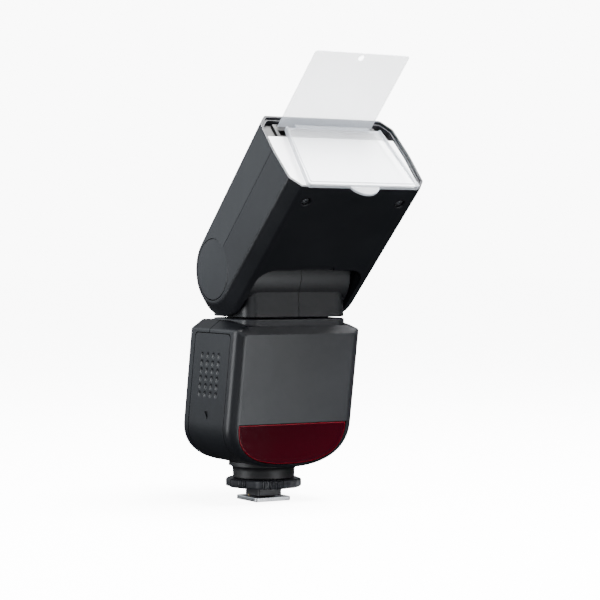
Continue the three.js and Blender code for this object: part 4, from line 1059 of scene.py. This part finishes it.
# %% Tray
tray_low, tray_high = -19.0, -11.0
tray = plate(box_corners(26.6, 27, LENS_FACE - 0.6, 0.6), tray_low, tray_high, 0.3, 0.3)
bezel_levels = [-19.5, -19.2] + [-18.7 + 0.8 * k for k in range(10)] + [-11.0, -10.75]
bezel = loft([[(-w, 65.6, v), (w, 65.6, v), (w, 68.6, v), (-w, 68.6, v)]
              for v, w in ((v, half_width(v, 2.3)) for v in bezel_levels)])
tray = combined(tray, bezel, operation="UNION")
tray = combined(tray, block((-24.6, 24.6), (20, 90), (-18.4, -17.4)),
                block((-25, 25), (20, 90), (-15.1, -11.9)))
TRAY_RIBS, RIB_STEP = 13, 3.2
ribs = [block((-20 + RIB_STEP * k, -18.6 + RIB_STEP * k), (60, 90), (-17.0, -16.6))
        for k in range(TRAY_RIBS)]
finished("card_tray_moulding", placed(combined(tray, joined(*ribs)), HEAD), "head", "dark_plastic",
         "card_tray", finish=inner_plastic_and_painted_shade)

# %% Bounce card and wide panel
CARD_HALF, CARD_FOOT, CARD_END, CARD_TOP, CARD_UNDER, HOLE_RADIUS = 24, 67, 113, -18.2, -17.6, 1.5
card = plate([(-CARD_HALF, CARD_FOOT, 0.4), (CARD_HALF, CARD_FOOT, 0.4), (CARD_HALF, CARD_END, 1.4),
              (-CARD_HALF, CARD_END, 1.4)], CARD_TOP, CARD_UNDER, 0.12, 0.12)
card = combined(card, rod(HOLE_RADIUS, -30, 0, at=(0, 110.3, 0), steps=40))
finished("bounce_card_sheet", placed(card, HEAD), "bounce_card", "card_plastic",
         "bounce_card")

FLAT, PROUD = 72.9, 74.3
slab = plate([(-24.4, -12.4, 0.5), (24.4, -12.4, 0.5), (28.4, 23.4, 1.2), (-28.4, 23.4, 1.2)],
             FLAT, PROUD + 0.9, 0.15, 0.3)
dish = plate([(-23, -20, 0), (23, -20, 0), (26.8, 21.6, 0.8), (-26.8, 21.6, 0.8)], PROUD, PROUD + 9, 0.3)
moon = combined(rod(8.4, FLAT, PROUD, at=(0, 19.6, 0), steps=72, rim=0.25),
                block((-20, 20), (22.2, 40), (60, 90)), operation="INTERSECT")
bar = rod(1.1, -19, 19, axis=(1, 0, 0), at=(0, -13.4, FLAT + 0.7), steps=32, rim=0.15)
panel = combined(combined(slab, dish), moon, bar, operation="UNION")
# Faces that are not flat to the panel take the edge finish: painted edge sheen.
for face in panel.faces:
    if abs(face.normal.z) < 0.9:
        face.material_index = 1
finished("wide_panel_sheet", placed(panel, ALONG_Y, HEAD), "wide_panel", "clear_plastic",
         "wide_panel", extra=(clear_painted_edge_sheen,))

# %% [markdown]
# ## Rear controls
# The side that faces the photographer carries a display under a polished window, three pill shaped
# buttons, a toothed dial round a set button, a red test button and a sliding power switch. Each is a
# moulding with a rounded rim that stands one or two millimetres proud, in an opening a little larger than
# itself.

# %% Display window and buttons
window_pane = plate(box_corners(18, SCREEN_UP - 10, SCREEN_UP + 10, 1.5), 0.4 - WALL, 0, 0.1, 0.25)
finished("display_window", placed(window_pane, PANEL), "body", "screen", "screen_window")

for number, x in enumerate(BUTTONS_X, start=1):
    key = plate(pill(x, BUTTON_UP, 9, 4, 1.8), -WALL - 0.6, 1, 0.1, 0.4, rim_steps=4)
    hollow = rod(9, 0.86, 20, at=(x, BUTTON_UP, 0), steps=64)
    bmesh.ops.transform(hollow, matrix=Matrix.Diagonal((0.38, 0.13, 1, 1)), verts=hollow.verts[:],
                        space=Matrix.Translation((-x, -BUTTON_UP, 0)))
    finished(f"button_{number}_key", placed(combined(key, hollow), PANEL), f"button_{number}", "trim_plastic",
             f"button_{number}")

# %% Dial, set button, test button and power switch
TEETH, STEPS_A_TOOTH = 24, 8
teeth = []
for level, inset in ((-0.9, 0.25), (-0.6, 0), (1.35, 0), (1.8, 0.45)):
    ring = []
    for k in range(TEETH * STEPS_A_TOOTH):
        swell = 0.5 + 0.5 * cos(2 * pi * k / STEPS_A_TOOTH)
        radius = DIAL_RADIUS - 0.45 * (1 - swell) - inset
        turn = 2 * pi * k / (TEETH * STEPS_A_TOOTH)
        ring.append((radius * cos(turn), radius * sin(turn) + DIAL_UP, level))
    teeth.append(ring)
dial = combined(loft(teeth), rod(SET_RADIUS + SLIP, -9, 9, at=(0, DIAL_UP, 0)),
                turned([(5.4, 1.5), (8.2, 1.5), (8.2, 5), (5.4, 5), (5.4, 1.5)], at=(0, DIAL_UP, 0),
                       steps=72))
finished("control_dial_wheel", placed(dial, PANEL), "control_dial", "trim_plastic", "control_dial")


def round_key(radius, x, hollow):
    line = [(0, -WALL - 0.6), (radius, -WALL - 0.6), (radius, 0.55), (radius - 0.12, 0.82),
            (radius - 0.4, 0.97), (radius - 0.7, 1.0), (radius * 0.4, 1.0 - hollow * 0.8), (0, 1.0 - hollow)]
    return turned(line, at=(x, DIAL_UP, 0), steps=64)


finished("set_button_key", placed(round_key(SET_RADIUS, 0, 0.3), PANEL), "set_button", "trim_plastic",
         "set_button")
finished("test_button_key", placed(round_key(TEST_RADIUS, -SWITCH_X, 0.0), PANEL), "test_button", "red_lamp",
         "test_button")
SWITCH_UP = DIAL_UP - 1.5
switch = plate(pill(SWITCH_X, SWITCH_UP, 4, 5, 1), -WALL - 0.6, 1.4, 0.1, 0.35)
switch = combined(switch, *[block((SWITCH_X - 3, SWITCH_X + 3), (SWITCH_UP + k - 0.2, SWITCH_UP + k + 0.2),
                                  (1.15, 3)) for k in (-1, 0, 1)])
finished("power_switch_slide", placed(switch, PANEL), "power_switch", "trim_plastic",
         "power_switch")

# %% [markdown]
# ## Inside the flash
# What stays hidden behind the shells keeps the solid that it was packed with, because those solids are
# already right and are seen only through an open door. Each still gets the finish it would have: printed
# jackets on the cells, a lacquered board, a bright trough behind the flash tube.

# %% Finishes for the inner solids
dressed(cell_can, "cell_1", "cell_2", "cell_3", "cell_4")
dressed(circuit_board, "main_board")
dressed(capacitor_can, "capacitor")
dressed(screen_finish, "screen_module")
dressed(bright_reflector, "reflector")
dressed(clear_plastic, "flash_tube")
dressed(steel, "cell_strip", "door_contact_plate", "door_hinge_slide", "swivel_retainer", "tilt_axle",
        "detent_wheel", "zoom_screw", "zoom_motor", "data_port")
dressed(inner_plastic_and_painted_shade, "battery_cradle", "swivel_shaft", "lens_frame", "zoom_carriage")

# %% [markdown]
# ## Floor, light and camera
# Product photographs of black plastic are lit for its reflections, because its own colour is nearly
# nothing. Six soft panels do that, and none of them shows in the picture: left_panel draws the bright
# band round the body's front corner, side_panel lifts the battery door a little, face_card gives the
# front its fade, lens_panel whitens the lens and the bounce card, crown_card lights the crown and
# fill_panel fills the shadows. The sky is white only to the camera; what lights the flash is a dim
# version of it that gets darker below the horizon. The floor glows so that it looks as white as the sky,
# and the flash neither reflects it, nor is lit by it, nor is shaded by it.

# %% Floor
floor_mesh = bmesh.new()
bmesh.ops.create_grid(floor_mesh, x_segments=2, y_segments=2, size=6)
floor = as_object(floor_mesh, "studio_floor")
floor.location.z = -0.0004
paper = Finish("studio_paper", Roughness=0.9, Emission_Color=(1, 1, 1, 1), Emission_Strength=9.0)
paper.set(Base_Color=paper.mix(paper.noise(3, 2.0), (0.86, 0.86, 0.87), (0.9, 0.9, 0.9)))
floor.data.materials.append(paper.material)
floor.visible_glossy = floor.visible_diffuse = floor.visible_shadow = False

# %% Sky: white to the camera, dim to the flash
world = bpy.data.worlds.new("studio")
bpy.context.scene.world = world
world.use_nodes = True
nodes, links = world.node_tree.nodes, world.node_tree.links
direction = nodes.new("ShaderNodeTexCoord").outputs["Generated"]
height = nodes.new("ShaderNodeSeparateXYZ")
fade = nodes.new("ShaderNodeMapRange")
links.new(direction, height.inputs[0])
links.new(height.outputs["Z"], fade.inputs["Value"])
for index, value in enumerate((-0.3, 0.5, 0.02, 0.5), start=1):
    fade.inputs[index].default_value = value
dim_sky, seen_sky = nodes["Background"], nodes.new("ShaderNodeBackground")
links.new(fade.outputs[0], dim_sky.inputs["Strength"])
dim_sky.inputs["Color"].default_value = (0.92, 0.96, 1.0, 1)
seen_sky.inputs["Strength"].default_value = 12.0
chosen = nodes.new("ShaderNodeMixShader")
links.new(nodes.new("ShaderNodeLightPath").outputs["Is Camera Ray"], chosen.inputs[0])
links.new(dim_sky.outputs[0], chosen.inputs[1])
links.new(seen_sky.outputs[0], chosen.inputs[2])
links.new(chosen.outputs[0], nodes["World Output"].inputs["Surface"])


# %% Soft panels
def soft_panel(name, place, width, length, power, target=(0, 0, 0.1), colour=(1, 1, 1)):
    """A flat light at a place in metres, turned to a target."""
    lamp = bpy.data.lights.new(name, "AREA")
    lamp.shape, lamp.size, lamp.size_y = "RECTANGLE", width, length
    lamp.energy, lamp.color = power, colour
    spot = bpy.data.objects.new(name, lamp)
    bpy.context.scene.collection.objects.link(spot)
    spot.location = place
    spot.rotation_euler = (Vector(target) - spot.location).to_track_quat("-Z", "Y").to_euler()
    spot.visible_camera = False
    return spot


def round_the_flash(azimuth, distance, height):
    """A place at this azimuth from the front, positive to the right."""
    return distance * sin(radians(azimuth)), -distance * cos(radians(azimuth)), height


soft_panel("left_panel", round_the_flash(-104, 0.7, 0.16), 0.22, 0.7, 4.4, colour=(0.94, 0.97, 1.0))
soft_panel("side_panel", round_the_flash(-150, 0.9, 0.3), 0.5, 0.6, 1.1, colour=(0.85, 0.93, 1.0))
soft_panel("face_card", (0.125, -0.43, -0.085), 0.15, 0.2, 0.85, target=(0, -0.02, 0.05),
           colour=(0.94, 0.97, 1.0))
soft_panel("lens_panel", (0.1, -0.35, 0.9), 0.5, 0.4, 62, target=(0, -0.05, 0.17))
soft_panel("crown_card", round_the_flash(32, 0.6, 0.33), 0.3, 0.14, 0.6)
soft_panel("fill_panel", round_the_flash(-34, 1.3, 0.2), 0.9, 0.7, 2.6, colour=(0.92, 0.96, 1.0))

# %% Camera
camera = bpy.data.objects.new("camera", bpy.data.cameras.new("camera"))
bpy.context.scene.collection.objects.link(camera)
LENS_LENGTH, SENSOR_WIDTH, CAMERA_ROLL = 128.1, 36, 0.39
CAMERA_PLACE, LOOKED_AT = Vector((-505.84, -834.07, 115.01)), Vector((19.07, 0, 91.2))
camera.data.lens, camera.data.sensor_width = LENS_LENGTH, SENSOR_WIDTH
camera.data.clip_start, camera.data.clip_end = 0.05, 20
camera.location = CAMERA_PLACE * MM
aim = LOOKED_AT * MM - camera.location
camera.rotation_euler = (aim.to_track_quat("-Z", "Y").to_matrix()
                         @ Matrix.Rotation(radians(CAMERA_ROLL), 3, "Z")).to_euler()
bpy.context.scene.camera = camera
bpy.context.view_layer.update()

# %% Write the sizes and finish
print("pieces", len(made_pieces), "triangles",
      sum(len(p.vertices) - 2 for o in made_pieces for p in o.data.polygons))
